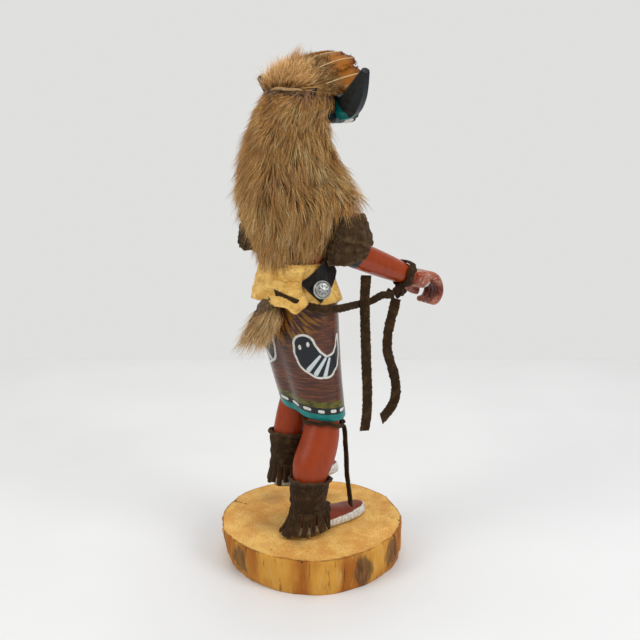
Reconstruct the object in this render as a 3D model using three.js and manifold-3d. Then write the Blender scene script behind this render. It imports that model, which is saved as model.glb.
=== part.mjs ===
// A carved and painted dancer doll on a log slice: one cottonwood figure with a horned mask, arms glued
// on, a fur pelt, feathers, a chamois belt, suede cuffs, wraps and laces. Millimetres, +Z up. The figure
// faces -Y, so its right hand is on the -X side. The origin is the middle of the log slice's underside.
import * as THREE from 'three';
import { mergeVertices } from 'three/addons/utils/BufferGeometryUtils.js';
import Module from 'manifold-3d';

const wasm = await Module();
wasm.setup();

// Driving dimensions
const GAP = 0.35; // clearance between touching pieces
const BASE_RADIUS = 64;
const BASE_HEIGHT = 25;
const GROUND = BASE_HEIGHT + GAP; // where the planted foot stands
const HEM_HEIGHT = 107;
const HEM_TILT = 0.17; // the hem rises towards the lifted leg
const WAIST_HEIGHT = 192;
const LEG_OFFSET = 13.5; // each leg from the middle
const LIFT = 25.5; // how far the left foot is raised
const FOOT_LENGTH = 64;
const HORN_RADIUS = 7.6;
const SUEDE = 1.6; // thickness of the suede pieces
const LACE_WIDTH = 6.5;
const LACE_THICKNESS = 1.6;
const LACE_CORNERS = 6;

const COLOURS = {
  wood: '#cfa25a', skin: '#a34a2c', kilt: '#5a2a1c', black: '#17181c', charcoal: '#2a2b2f',
  fur: '#a98a62', cap: '#9c8058', suede: '#54432f', chamois: '#dfb766', leather: '#1b191c',
  silver: '#b9bcbc', feather: '#b4601f',
};

const vec = (x, y, z) => new THREE.Vector3(x, y, z);
const ease = (t) => t * t * (3 - 2 * t);
const clamp01 = (t) => Math.min(1, Math.max(0, t));
const bump = (x, width) => Math.exp(-((x / width) ** 2));
// Signed turn from one angle to another, between -pi and pi
const turnTo = (angle, other) => Math.atan2(Math.sin(angle - other), Math.cos(angle - other));

// Turns a closed three.js geometry into a solid that can be joined and cut.
function solid(geometry) {
  geometry.deleteAttribute('normal');
  geometry.deleteAttribute('uv');
  const merged = mergeVertices(geometry, 1e-4);
  return new wasm.Manifold(new wasm.Mesh({
    numProp: 3,
    vertProperties: new Float32Array(merged.attributes.position.array),
    triVerts: new Uint32Array(merged.index.array),
  }));
}

// Moves a sphere's grid to place(angle, row): rows count up from the foot, and the first and last are points.
function moulded(around, along, place) {
  const geometry = new THREE.SphereGeometry(1, around, along);
  const position = geometry.attributes.position;
  let index = 0;
  for (let row = along; row >= 0; row -= 1) {
    for (let column = 0; column <= around; column += 1) {
      const spot = place((2 * Math.PI * (column % around)) / around, row);
      position.setXYZ(index, spot.x, spot.y, spot.z);
      index += 1;
    }
  }
  return solid(geometry);
}

// Reads evenly spaced rows from a few key rows of numbers, on smooth curves through them.
function smoothRows(keys, count) {
  const rows = [];
  for (let step = 0; step < count; step += 1) {
    const at = (step / (count - 1)) * (keys.length - 1);
    const index = Math.min(Math.floor(at), keys.length - 2);
    const t = at - index;
    const before = keys[Math.max(index - 1, 0)];
    const after = keys[Math.min(index + 2, keys.length - 1)];
    rows.push(keys[index].map((a, i) => {
      const b = keys[index + 1][i];
      const slopeA = (b - before[i]) / 2;
      const slopeB = (after[i] - a) / 2;
      return a * (2 * t ** 3 - 3 * t ** 2 + 1) + slopeA * (t ** 3 - 2 * t ** 2 + t)
        + b * (3 * t ** 2 - 2 * t ** 3) + slopeB * (t ** 3 - t ** 2);
    }));
  }
  return rows;
}

// A body stacked from level oval rings [x, y, z, half width, half depth], flat at both ends.
function stack(around, keys, count, grow = 0, shape = () => 1, lift = () => 0) {
  const rows = smoothRows(keys, count);
  return moulded(around, count + 1, (angle, row) => {
    const inner = clamp01((row - 1) / (count - 1)) * (count - 1);
    const [x, y, z, a, b] = rows[inner];
    const end = row === 0 || row === count + 1;
    const share = end ? 0 : shape(angle, inner / (count - 1));
    const px = x + (a + grow) * share * Math.cos(angle);
    const py = y + (b + grow) * share * Math.sin(angle);
    const rise = row === 0 ? -grow : row === count + 1 ? grow : 0;
    return vec(px, py, z + rise + lift(px, inner / (count - 1)));
  });
}

// A limb swept through key rows [x, y, z, radius], its rings square to the way it runs and its ends rounded.
function limb(around, keys, count, grow = 0, flatten = 1) {
  const rows = smoothRows(keys, count);
  const spots = rows.map(([x, y, z]) => vec(x, y, z));
  const last = count - 1;
  return moulded(around, count + 1, (angle, row) => {
    const inner = Math.min(Math.max(row - 1, 0), last);
    const ahead = spots[Math.min(inner + 1, last)].clone().sub(spots[Math.max(inner - 1, 0)]).normalize();
    const side = vec(1, 0, 0).addScaledVector(ahead, -ahead.x).normalize();
    const over = ahead.clone().cross(side);
    const radius = row === 0 || row === count + 1 ? 0 : rows[inner][3] + grow;
    const tip = row === 0 ? -1 : row === count + 1 ? 1 : 0;
    return spots[inner].clone()
      .addScaledVector(side, radius * Math.cos(angle))
      .addScaledVector(over, radius * flatten * Math.sin(angle))
      .addScaledVector(ahead, tip * (rows[inner][3] * 0.35 + grow));
  });
}

// An oval lump about a middle, turned as the given Euler angles say.
function lump(middle, radii, around, turn = [0, 0, 0], grow = 0) {
  const geometry = new THREE.SphereGeometry(1, around, Math.round(around / 2));
  geometry.scale(radii[0] + grow, radii[1] + grow, radii[2] + grow);
  geometry.rotateX(turn[0]);
  geometry.rotateY(turn[1]);
  geometry.rotateZ(turn[2]);
  geometry.translate(...middle);
  return solid(geometry);
}

// A straight-sided block between two corners, for cutting.
function block(low, high) {
  const geometry = new THREE.BoxGeometry(high[0] - low[0], high[1] - low[1], high[2] - low[2]);
  geometry.translate((low[0] + high[0]) / 2, (low[1] + high[1]) / 2, (low[2] + high[2]) / 2);
  return solid(geometry);
}

const joined = (pieces) => pieces.reduce((whole, piece) => whole.add(piece));
const cutBy = (piece, cutters) => cutters.reduce((left, cutter) => left.subtract(cutter), piece);

// The log slice: bark side slightly lobed, undercut at the back left, its rim a little chipped.
function logSlice() {
  const levels = [
    [0, 0.97], [2, 0.985], [9, 1], [BASE_HEIGHT - 2, 1], [BASE_HEIGHT, 0.985],
  ];
  return moulded(48, levels.length + 1, (angle, row) => {
    const level = Math.min(Math.max(row - 1, 0), levels.length - 1);
    const [z, share] = levels[level];
    const end = row === 0 || row === levels.length + 1;
    const lobes = 0.012 * Math.sin(3 * angle + 0.6) + 0.008 * Math.sin(5 * angle + 2)
      + 0.004 * Math.sin(13 * angle);
    const undercut = 0.07 * bump(turnTo(angle, Math.PI / 4), 1) * (1 - z / BASE_HEIGHT);
    const chips = 0.02 * bump(turnTo(angle, 5.6), 0.09) + 0.015 * bump(turnTo(angle, 2.1), 0.06);
    const chip = level > 2 ? chips : 0;
    const radius = end ? 0 : BASE_RADIUS * share * (1 + lobes - undercut - chip);
    return vec(radius * Math.cos(angle), radius * Math.sin(angle), z);
  });
}

// The kilt: a drum that narrows to its hem, drawn in between the legs at the back and front.
const KILT_KEYS = [
  [0, -1.5, HEM_HEIGHT, 26, 18.4], [1.2, 3.8, 133, 27.8, 20.4], [2.4, 8.4, 160, 30.2, 22.6],
  [0, 10.5, 182, 29, 21], [0, 12.5, WAIST_HEIGHT, 28, 20],
];
function kilt(grow = 0) {
  const groove = (angle, t) => 1 - 0.15 * (1 - ease(clamp01(t / 0.8)))
    * (bump(turnTo(angle, Math.PI / 2), 0.26) + bump(turnTo(angle, -Math.PI / 2), 0.26));
  return stack(32, KILT_KEYS, 6, grow, groove, (x, t) => HEM_TILT * x * (1 - t));
}

const TORSO_KEYS = [
  [0, 12.5, WAIST_HEIGHT - 2, 26, 18.5], [0, 14, 214, 24.5, 17], [0, 16, 238, 27.5, 17.5],
  [0, 16.5, 255, 29, 15.5], [0, 15.5, 265, 23, 13], [0, 14, 271, 13, 11.5], [0, 9, 296.6, 11.5, 11.5],
];
const torso = (grow = 0) => stack(16, TORSO_KEYS, 7, grow);

// Legs as level ovals [x, y, z, half width, half depth] from the ankle up into the kilt.
const RIGHT_LEG = [
  [-LEG_OFFSET, 18.5, 30, 8.2, 9], [-LEG_OFFSET, 17.5, 45, 9, 10], [-LEG_OFFSET, 15, 60, 10.8, 12.4],
  [-LEG_OFFSET, 10.5, 75, 12.6, 15.6], [-LEG_OFFSET, 5, 89, 12, 14], [-LEG_OFFSET, 1.5, 104, 11.6, 12],
  [-LEG_OFFSET, 1, 118, 11, 11],
];
const LEFT_LEG = [
  [LEG_OFFSET, 11.5, 30 + LIFT, 8.2, 9], [LEG_OFFSET, 10.5, 45 + LIFT, 9, 10],
  [LEG_OFFSET, 8, 62 + LIFT, 11, 12.4], [LEG_OFFSET, 4, 104, 11.8, 13], [LEG_OFFSET, 1.5, 122, 11, 11.5],
];
const leg = (keys, grow = 0) => stack(14, keys, 6, grow);

// A moccasin: flat sole, rounded toe and a low instep; distances run from the heel to the toe.
const FOOT_ROWS = [
  [0.02, 0.5, 9], [0.09, 0.74, 14], [0.22, 0.84, 17], [0.36, 0.87, 16.5], [0.5, 0.93, 12.5], [0.66, 1, 9.4],
  [0.8, 0.92, 8.2], [0.92, 0.68, 7.4], [0.985, 0.34, 6],
];
const FOOT_HALF = 10.2;
const TOES_OUT = 3.5; // degrees
function foot(grow = 0) {
  const last = FOOT_ROWS.length - 1;
  return moulded(16, last + 2, (angle, row) => {
    const inner = Math.min(Math.max(row - 1, 0), last);
    const [share, width, height] = FOOT_ROWS[inner];
    const end = row === 0 ? -1 : row === last + 2 ? 1 : 0;
    const out = end === 0 ? 1 : 0;
    const far = end === 0 ? share : end < 0 ? 0 : 1;
    const across = out * (FOOT_HALF * width + grow) * Math.cos(angle);
    const up = out * Math.max(0, Math.sin(angle)) ** 0.7 * (height + grow);
    const sole = out * Math.min(0, Math.sin(angle)) * 0.01 - (Math.sin(angle) <= 0 || !out ? grow : 0);
    return vec(across, -far * FOOT_LENGTH - end * grow, up + sole + (out ? 0 : 2.5));
  });
}
const RIGHT_HEEL = [-LEG_OFFSET, 28.5, GROUND];
const LEFT_HEEL = [LEG_OFFSET, 21, GROUND + LIFT];
const TOE_DOWN = 6; // degrees that the lifted sole slopes
const rightFoot = (grow = 0) => foot(grow).rotate([0, 0, -TOES_OUT]).translate(RIGHT_HEEL);
const leftFoot = (grow = 0) => foot(grow).rotate([TOE_DOWN, 0, TOES_OUT]).translate(LEFT_HEEL);

const figureParts = (grow) => [
  kilt(grow), torso(grow), leg(RIGHT_LEG, grow), leg(LEFT_LEG, grow), rightFoot(grow), leftFoot(grow),
];

// The mask: a domed case with a blunt muzzle, bulging eyes and a cut mouth line.
const MASK_KEYS = [
  [0, 6, 297, 20, 20], [0, 6, 299, 22, 22], [0, 6, 310, 22.8, 23], [0, 6, 319, 21.5, 21.5],
  [0, 6.5, 325, 16.5, 16.5], [0, 7, 328, 8, 8],
];
const MUZZLE_KEYS = [[0, -10, 305, 10.5], [0, -20, 304.5, 9.6], [0, -30, 304, 8.8], [0, -37, 303.5, 7.6]];
const EYE = [8.5, -15.2, 314];
const EYE_RADII = [3.4, 3, 3.4];
function mask(grow = 0) {
  const shell = stack(18, MASK_KEYS, 6, grow);
  const muzzle = limb(12, MUZZLE_KEYS, 4, grow, 0.78);
  const eyes = [-1, 1].map((side) => (
    lump([side * EYE[0], EYE[1], EYE[2]], EYE_RADII, 8, [0, 0, 0], grow)));
  const whole = joined([shell, muzzle, ...eyes]);
  return grow > 0 ? whole : whole.subtract(block([-12, -44, 299.6], [12, -27, 300.6]));
}

// Horns: whittled with flat facets, swelling over the root and curving out, back and up to a blunt tip.
const HORN_KEYS = [
  [19, -8, 305.5, 1], [26.5, -7.6, 308, 1.03], [34, -5.2, 313.8, 0.88], [41, -2.2, 320.6, 0.62],
  [47.2, 0.4, 327.2, 0.36],
];
function horn(side, grow = 0) {
  const keys = HORN_KEYS.map(([x, y, z, share]) => [side * x, y, z, HORN_RADIUS * share]);
  return limb(7, keys, 6, grow, 1.05);
}

// Arms: shoulder, elbow, wrist as rows of [x, y, z, radius].
const RIGHT_UPPER = [[-27, 9, 257, 8.5], [-31, 4, 240, 8.8], [-36, -3, 219, 8.6]];
const RIGHT_FORE = [
  [-35.2, 4, 219, 7.8], [-36.5, -4, 216, 8.8], [-41, -26, 207, 8.2], [-45.6, -46, 198.6, 6.6],
];
const LEFT_UPPER = [[27, 13, 257, 8.5], [31.5, 15, 240, 8.8], [36, 15.5, 222, 8.6]];
const LEFT_FORE = [
  [35.4, 19, 222, 7.8], [36.5, 12, 219.5, 8.8], [41, -9, 211, 8.2], [45.6, -29, 202.6, 6.6],
];

// A fist that once held a staff: four curled fingers and a thumb round a clear grip.
const FINGER_RADIUS = 2.6;
function fist(wrist, side) {
  const spread = [-6.3, -2.1, 2.1, 6.3];
  const curl = (offset, reach) => limb(6, [
    [offset, 0, 1.5, FINGER_RADIUS], [offset, -11, 4.2, FINGER_RADIUS + 0.3],
    [offset, -18 * reach, 0.5, FINGER_RADIUS + 0.2],
    [offset, -21.5 * reach, -7, FINGER_RADIUS], [offset, -18.5 * reach, -13.5, FINGER_RADIUS - 0.2],
    [offset, -14.5 * reach, -12, FINGER_RADIUS - 0.6],
  ], 5);
  const fingers = spread.map((offset, index) => curl(offset, 1 - 0.04 * Math.abs(index - 1.5)));
  const palm = lump([0, -5.5, -1], [8, 9, 6], 8, [0.15, 0, 0]);
  const thumb = limb(6, [
    [-side * 6, -1, -4, 3], [-side * 6.5, -7, -7.6, 2.9], [-side * 3, -11.5, -8.4, 2.3],
  ], 3);
  return joined([palm, ...fingers, thumb]).rotate([18, 0, side * 12]).translate(wrist);
}
const RIGHT_WRIST = [-46.2, -49, 197.5];
const LEFT_WRIST = [46.2, -32, 201.5];
const rightArmParts = (grow) => [limb(10, RIGHT_UPPER, 3, grow), limb(10, RIGHT_FORE, 5, grow)];
const leftArmParts = (grow) => [limb(10, LEFT_UPPER, 3, grow), limb(10, LEFT_FORE, 5, grow)];

// A suede wrap round the upper arm: a thick sleeve with one loose fold across it.
const WRAP_SLACK = [1.8, 3.2, 3.8, 3.6, 2.6];
function armWrap(keys, grow = 0) {
  const rows = smoothRows(keys, WRAP_SLACK.length).map(([x, y, z, r], index) => {
    const radius = r + WRAP_SLACK[index];
    return [x, y, z, radius, radius];
  });
  return stack(16, rows, 4, grow, (angle, t) => 1 + 0.05 * Math.sin(2 * angle + 5 * t));
}
const RIGHT_WRAP = [[-35.8, -0.5, 216.5, 8.9], [-35.5, -2, 226, 8.8], [-32.5, 0.5, 240, 8.6]];
const LEFT_WRAP = [[35.6, 17.2, 219.5, 8.9], [35.4, 16, 229, 8.8], [32.6, 15.2, 243, 8.6]];

// The belt: a wide chamois band, slack at the top and flaring over the kilt at the back.
const BELT_KEYS = [
  [0, 12.2, 185.5, 32.2, 25], [0, 12.5, 190, 31.4, 24.2], [0, 13.2, 198, 29.2, 21.6],
  [0, 13.6, 207, 27, 19.8], [0, 13.9, 211, 26.4, 19],
];
function belt(grow = 0) {
  const slack = (angle, t) => 1 + 0.05 * (1 - t) * bump(turnTo(angle, 1.15), 0.5)
    + 0.012 * Math.sin(7 * angle + 4 * t);
  return stack(26, BELT_KEYS, 4, grow, slack, (x, t) => (1 - t) * 1.2 * Math.sin(0.13 * x));
}

// Plain rooms that clear the body: one for the belt, one for the pelt's flesh side.
const beltCore = () => stack(20, [
  [0, 10, 176, 30.8, 22.8], [0, 11.9, 190, 30, 22], [0, 13.2, 198, 27.4, 19.9], [0, 14, 216, 25.6, 18.2],
], 4);
const peltCore = () => stack(18, [
  [0, 14, 200, 27, 20], [0, 16, 226, 28, 19.5], [0, 16.5, 256, 31.5, 18.8], [0, 15.5, 268, 27, 16.5],
  [0, 11, 280, 17, 15], [0, 7, 292, 22, 22], [0, 6, 301, 24, 24], [0, 6, 322, 22.8, 22.8],
], 9);

// A kite of black leather laid over the belt: corners in degrees round the waist and height, and how it lies.
const TAB_CORNERS = { left: [134, 200], foot: [160, 188.5], right: [197, 203.5], head: [178, 213] };
const TAB_THICKNESS = 1.4;
const TAB_FLARE = 0.19; // outward for each millimetre down, as the belt under it flares
const TAB_OVAL = { middle: 13, half: 28, depth: 21 };
function beltTab() {
  const geometry = new THREE.BoxGeometry(1, 1, 1, 4, 4, 1);
  const { left, foot: low, right, head } = TAB_CORNERS;
  const position = geometry.attributes.position;
  for (let index = 0; index < position.count; index += 1) {
    const u = position.getX(index) + 0.5;
    const v = position.getY(index) + 0.5;
    const [turn, z] = left.map((a, k) => a * (1 - u) * (1 - v) + low[k] * (1 - u) * v + right[k] * u * v
      + head[k] * u * (1 - v));
    const out = (0.5 - position.getZ(index)) * TAB_THICKNESS + (head[1] - z) * TAB_FLARE;
    const angle = THREE.MathUtils.degToRad(turn);
    const y = TAB_OVAL.middle + (TAB_OVAL.depth + out) * Math.sin(angle);
    position.setXYZ(index, (TAB_OVAL.half + out) * Math.cos(angle), y, z);
  }
  return solid(geometry);
}

// Turns a lathed shape so that its axis runs the given way, and moves it to a place.
function aimed(profile, around, ahead, place) {
  const geometry = new THREE.LatheGeometry(profile.map(([r, h]) => new THREE.Vector2(r, h)), around);
  const turn = new THREE.Quaternion().setFromUnitVectors(vec(0, 1, 0), vec(...ahead).normalize());
  geometry.applyQuaternion(turn);
  geometry.translate(...place);
  return solid(geometry);
}

// A domed silver stud on the tab.
const STUD_PLACE = [-32.8, 22.5, 196.3];
const STUD_AXIS = [-0.9, 0.42, 0.17];
const STUD_PROFILE = [[0, 0], [5.2, 0], [5.8, 0.5], [5.6, 1], [4.2, 2.2], [2.2, 2.9], [0, 3.1]];

// Fringed suede cuffs: a sleeve round the ankle that ends in strips flaring over the foot. Each wall point is
// [height, outward distance, share of the fringe], up the outside and down the inside.
const CUFF_STRIPS = 9;
const CUFF_WALL = [
  [27.4, 15.4, 1], [27.4, 17, 1], [37, 13.2, 0.4], [47, 12.4, 0], [63, 14.6, 0],
  [63, 13, 0], [47, 10.8, 0], [37, 11.4, 0.4],
];
const CUFF_LEAN = 0.12; // how far the cuff comes forward as it rises with the shin
function cuff([x, y], lift, flare, instep, grow = 0) {
  const closed = [...CUFF_WALL, CUFF_WALL[0]].map(([z, out]) => new THREE.Vector2(out, z));
  const around = CUFF_STRIPS * 4;
  const geometry = new THREE.LatheGeometry(closed, around);
  const position = geometry.attributes.position;
  for (let index = 0; index < position.count; index += 1) {
    const spoke = Math.floor(index / closed.length) % around;
    const [z, radius, fringe] = CUFF_WALL[(index % closed.length) % CUFF_WALL.length];
    const angle = (2 * Math.PI * spoke) / around;
    const slit = fringe * (spoke % 4 === 0 ? 7.5 : 0);
    const over = fringe * instep * bump(turnTo(angle, -Math.PI / 2 + Math.sign(x) * 0.2), 0.95);
    const wall = radius * (1 - fringe * (1 - flare)) + (radius > 12 || fringe > 0 ? grow : -grow);
    const tilt = z > 60 ? 0.12 * wall * Math.sin(angle) : 0;
    const middle = y - (z - CUFF_WALL[0][0]) * CUFF_LEAN;
    position.setXYZ(index, x + wall * 0.94 * Math.cos(angle), middle + wall * 1.06 * Math.sin(angle),
      z + lift + tilt + Math.max(slit, over));
  }
  return solid(geometry);
}
const RIGHT_CUFF = { middle: [-LEG_OFFSET, 18.5], lift: 0, flare: 1, instep: 17 };
const LEFT_CUFF = { middle: [LEG_OFFSET, 11.8], lift: LIFT, flare: 0.88, instep: 18 };
const cuffSolid = ({ middle, lift, flare, instep }, grow) => cuff(middle, lift, flare, instep, grow);

// A ring round a limb, square to the way the limb runs.
const band = (middle, ahead, inner, width, thickness, around) => aimed([
  [inner, -width / 2], [inner + thickness, -width / 2 + 0.4], [inner + thickness, width / 2 - 0.4],
  [inner, width / 2], [inner, -width / 2],
], around, ahead, middle);

// The pelt: a thick half-round cape of fur from the crown to the belt, ridged with hanging locks.
const PELT_KEYS = [
  [0, 8, 206, 14, 20], [0, 10, 214, 25, 31], [0, 12, 229, 35, 37.5], [0, 12, 247, 38.5, 42.5],
  [0, 11, 264, 37, 46], [0, 9.5, 282, 33, 42.5], [0, 8, 298, 30, 37], [0, 8, 309, 28.5, 31],
  [0, 8, 317.3, 25.5, 23.5],
];
const PELT_FRONT = 4; // the cape is open before this depth
function pelt(grow = 0) {
  const locks = (angle, t) => 1 + 0.022 * Math.sin(17 * angle + 3 * Math.sin(9 * t))
    + 0.016 * Math.sin(9 * angle - 14 * t);
  return stack(30, PELT_KEYS, 9, grow, locks).subtract(block([-60, -60, 190], [60, PELT_FRONT - grow, 340]));
}

// Fur standing up at the back of the crown, behind the feathers.
const CREST_KEYS = [
  [0, 21.5, 318, 18.5, 11.5], [0, 25.5, 324, 16.5, 7.5], [0, 27, 330, 11, 6], [0, 27, 336, 5, 3],
];
const CREST_LOCKS = (angle, t) => 1 + 0.05 * Math.sin(9 * angle + 6 * t);
const crownFur = () => stack(16, CREST_KEYS, 4, 0, CREST_LOCKS);

// The tuft of a tail hanging from under the belt at the back.
const TAIL_KEYS = [
  [15, 46, 150, 2, 2], [13, 45, 156, 6, 6], [8, 42.5, 166, 12, 9.5], [5, 40, 176, 12.5, 8.5],
  [4, 37, 183, 10, 6],
];
const furTail = () => stack(16, TAIL_KEYS, 6, 0, (angle, t) => 1 + 0.08 * Math.sin(7 * angle + 8 * t));

// Feathers laid over the crown from back to front: a fan of curved blades round the head, in degrees.
const FEATHER_TURNS = [-60, -36, -12, 12, 36, 60];
const FEATHER_ROOT = { y: 18, z: 307, reach: 23.5 };
const FEATHER_TIP = { y: -22, z: 317, reach: 25.5 };
const FEATHER_HALF = 5.4;
const FEATHER_ARCH = 2.6; // how far a blade arches off the crown
const FEATHER_ROWS = [[0.02, 0.25], [0.2, 0.62], [0.45, 0.95], [0.7, 1], [0.88, 0.8], [0.98, 0.35]];
function feather(turn, grow = 0) {
  const angleRound = THREE.MathUtils.degToRad(turn);
  const out = vec(Math.sin(angleRound), 0, Math.cos(angleRound));
  const side = vec(Math.cos(angleRound), 0, -Math.sin(angleRound));
  const last = FEATHER_ROWS.length - 1;
  return moulded(6, last + 2, (angle, row) => {
    const end = row === 0 ? 0 : row > last + 1 ? 1 : -1;
    const [share, width] = end >= 0 ? [end, 0] : FEATHER_ROWS[row - 1];
    const reach = FEATHER_ROOT.reach + share * (FEATHER_TIP.reach - FEATHER_ROOT.reach)
      + FEATHER_ARCH * Math.sin(Math.PI * share);
    const thick = end >= 0 ? 0 : 0.75 + grow;
    const wide = end >= 0 ? 0 : width * FEATHER_HALF + grow;
    return vec(0, FEATHER_ROOT.y + share * (FEATHER_TIP.y - FEATHER_ROOT.y), FEATHER_ROOT.z
      + share * (FEATHER_TIP.z - FEATHER_ROOT.z))
      .addScaledVector(out, reach + thick * Math.sin(angle))
      .addScaledVector(side, wide * Math.cos(angle));
  });
}

// A flat lace along a route of [x, y, z] points; turn sets which way its flat faces look.
function lace(points, width, thickness, turn, steps) {
  const path = new THREE.CatmullRomCurve3(points.map((point) => vec(...point)));
  const corners = [];
  for (let corner = 0; corner < LACE_CORNERS; corner += 1) {
    const angle = (2 * Math.PI * corner) / LACE_CORNERS;
    const flat = new THREE.Vector2((width / 2) * Math.cos(angle), (thickness / 2) * Math.sin(angle));
    corners.push(flat.rotateAround(new THREE.Vector2(), turn));
  }
  return solid(new THREE.ExtrudeGeometry(new THREE.Shape(corners), { steps, extrudePath: path }));
}

// Routes of the laces, from where each leaves the doll to its far end.
const ARM_LACE = [
  [-39.8, -10.5, 202.2], [-40, -10, 196], [-40, -9.4, 186], [-40, -9.8, 173], [-40, -10.6, 160],
  [-40, -11.5, 147], [-40, -12.4, 134], [-40, -13, 122], [-40, -13.1, 111], [-40, -11.8, 103],
  [-40, -10.4, 97],
];
const WRIST_LACE = [
  [-46, -33.8, 184.5], [-46, -32, 180], [-46, -29.4, 173], [-46, -26.6, 165], [-46, -25.2, 157.5],
  [-46, -26, 150], [-46, -28.6, 142.5], [-46, -32, 134.5], [-46, -34.8, 127], [-46, -35.4, 119.5],
  [-46, -33.6, 113.5], [-46, -29.4, 109], [-46, -24.8, 106], [-46, -20.8, 104.1],
];
const WAIST_LACE = [
  [-46, -31, 187.8], [-45, -28, 187.6], [-43.5, -22.6, 188.1], [-41.5, -18.5, 186], [-39, -14, 184.1],
  [-36.9, -9.6, 183.3], [-35.8, -4.4, 183], [-35.8, 1.4, 182.8], [-35.2, 7.6, 182.7], [-34, 13.6, 182.9],
  [-32.6, 19, 183.4], [-29.4, 25, 184.6], [-23.4, 31.2, 187], [-15.6, 35.8, 189.8], [-7, 37.9, 192.2],
];
const KNEE_LACE = [
  [-15.8, -15.4, 93.6], [-16.4, -16.2, 90], [-17.4, -16.2, 82], [-18.6, -15.6, 74], [-19.8, -15, 65.6],
  [-21, -14.6, 57.4], [-22.2, -14.6, 49.6], [-23.2, -14.8, 42.4], [-24, -15, 36.4],
];

const finishes = {};
function finish(colour, roughness, metalness = 0) {
  const key = `${colour}${roughness}`;
  finishes[key] ??= new THREE.MeshStandardMaterial({ color: COLOURS[colour], roughness, metalness });
  return finishes[key];
}

const doll = new THREE.Group();
function add(name, body, material) {
  const { numProp, vertProperties, triVerts } = body.getMesh();
  const points = new Float32Array((vertProperties.length / numProp) * 3);
  for (let index = 0; index < points.length / 3; index += 1) {
    points.set(vertProperties.subarray(index * numProp, index * numProp + 3), index * 3);
  }
  const geometry = new THREE.BufferGeometry();
  geometry.setAttribute('position', new THREE.BufferAttribute(points, 3));
  geometry.setIndex(new THREE.BufferAttribute(new Uint32Array(triVerts), 1));
  geometry.computeVertexNormals();
  const mesh = new THREE.Mesh(geometry, material);
  mesh.name = name;
  doll.add(mesh);
}

// The biggest piece that a cut leaves.
function largest(body) {
  return body.decompose().reduce((best, piece) => (piece.volume() > best.volume() ? piece : best));
}

const maskRoom = mask(GAP);
const rightArmRoom = rightArmParts(GAP);
const leftArmRoom = leftArmParts(GAP);
const beltRoom = belt(GAP);
const bodyCore = peltCore();
const wrapRoom = [armWrap(RIGHT_WRAP, GAP), armWrap(LEFT_WRAP, GAP)];
const hornRoom = [horn(-1, GAP), horn(1, GAP)];

add('log_base', logSlice(), finish('wood', 0.8));
add('figure', joined(figureParts(0)), finish('skin', 0.4));
add('mask', mask(), finish('black', 0.45));
add('horn_right', largest(cutBy(horn(-1), [maskRoom])), finish('charcoal', 0.5));
add('horn_left', largest(cutBy(horn(1), [maskRoom])), finish('charcoal', 0.5));
const rightArm = joined([...rightArmParts(0), fist(RIGHT_WRIST, -1)]);
const leftArm = joined([...leftArmParts(0), fist(LEFT_WRIST, 1)]);
add('arm_right', largest(cutBy(rightArm, [torso(GAP)])), finish('skin', 0.4));
add('arm_left', largest(cutBy(leftArm, [torso(GAP)])), finish('skin', 0.4));
const rightWrap = largest(cutBy(armWrap(RIGHT_WRAP), [...rightArmRoom, torso(GAP)]));
const leftWrap = largest(cutBy(armWrap(LEFT_WRAP), [...leftArmRoom, torso(GAP)]));
add('arm_wrap_right', rightWrap, finish('suede', 0.95));
add('arm_wrap_left', leftWrap, finish('suede', 0.95));

const rightBand = band([-44.7, -42.4, 200.1], [-4.6, -20, -7.4], 7.9, 6.5, SUEDE, 14);
const knot = lump([-46, -36.5, 189.6], [3.4, 5, 4.2], 8);
const leftBand = band([44.7, -25.4, 204.1], [4.6, -20, -7.4], 7.9, 6.5, SUEDE, 14);
add('wristband_right', largest(cutBy(rightBand.add(knot), rightArmRoom)), finish('suede', 0.95));
add('wristband_left', largest(cutBy(leftBand, leftArmRoom)), finish('suede', 0.95));

add('belt', largest(cutBy(belt(), [beltCore()])), finish('chamois', 0.9));
add('belt_tab', largest(cutBy(beltTab(), [beltRoom])), finish('leather', 0.4));
add('tab_stud', aimed(STUD_PROFILE, 12, STUD_AXIS, STUD_PLACE), finish('silver', 0.35, 0.9));

add('fur_pelt', largest(cutBy(pelt(), [
  bodyCore, ...rightArmRoom, ...leftArmRoom, ...wrapRoom, ...hornRoom, beltRoom,
])), finish('fur', 1));
add('crown_fur', largest(cutBy(crownFur(), [maskRoom])), finish('cap', 1));
FEATHER_TURNS.forEach((turn, index) => add(`feather_${index + 1}`, feather(turn), finish('feather', 0.7)));
add('tail_tuft', largest(cutBy(furTail(), [kilt(GAP), beltRoom])), finish('fur', 1));

add('boot_cuff_right', cuffSolid(RIGHT_CUFF), finish('suede', 0.95));
add('boot_cuff_left', cuffSolid(LEFT_CUFF), finish('suede', 0.95));

const kneeKnot = lump([-15.6, -13.6, 96.6], [2.6, 2.6, 2.4], 6);
const kneeBand = band([-LEG_OFFSET, 2.6, 98], [0, 0.2, -1], 12.9, 3.4, SUEDE, 16).add(kneeKnot);
const legRoom = [leg(RIGHT_LEG, GAP), leg(LEFT_LEG, GAP), kilt(GAP)];
add('knee_band', largest(cutBy(kneeBand, legRoom)), finish('suede', 0.95));

add('arm_lace', lace(ARM_LACE, LACE_WIDTH, LACE_THICKNESS, -Math.PI / 4, 16), finish('suede', 0.95));
add('wrist_lace', lace(WRIST_LACE, LACE_WIDTH, LACE_THICKNESS, -Math.PI / 4, 17), finish('suede', 0.95));
add('waist_lace', lace(WAIST_LACE, 5, LACE_THICKNESS, 0, 18), finish('suede', 0.95));
add('knee_lace', lace(KNEE_LACE, 4, LACE_THICKNESS, 0, 12), finish('suede', 0.95));

doll.name = 'dancer_doll';
export default doll;
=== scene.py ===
"""A carved and painted dancer doll on a log slice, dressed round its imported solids.

Sizes are in millimetres, as in the solids, and become metres where a mesh is made. +Z is up, the
figure faces -Y and its right hand is on the -X side.
"""

from __future__ import annotations

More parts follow.
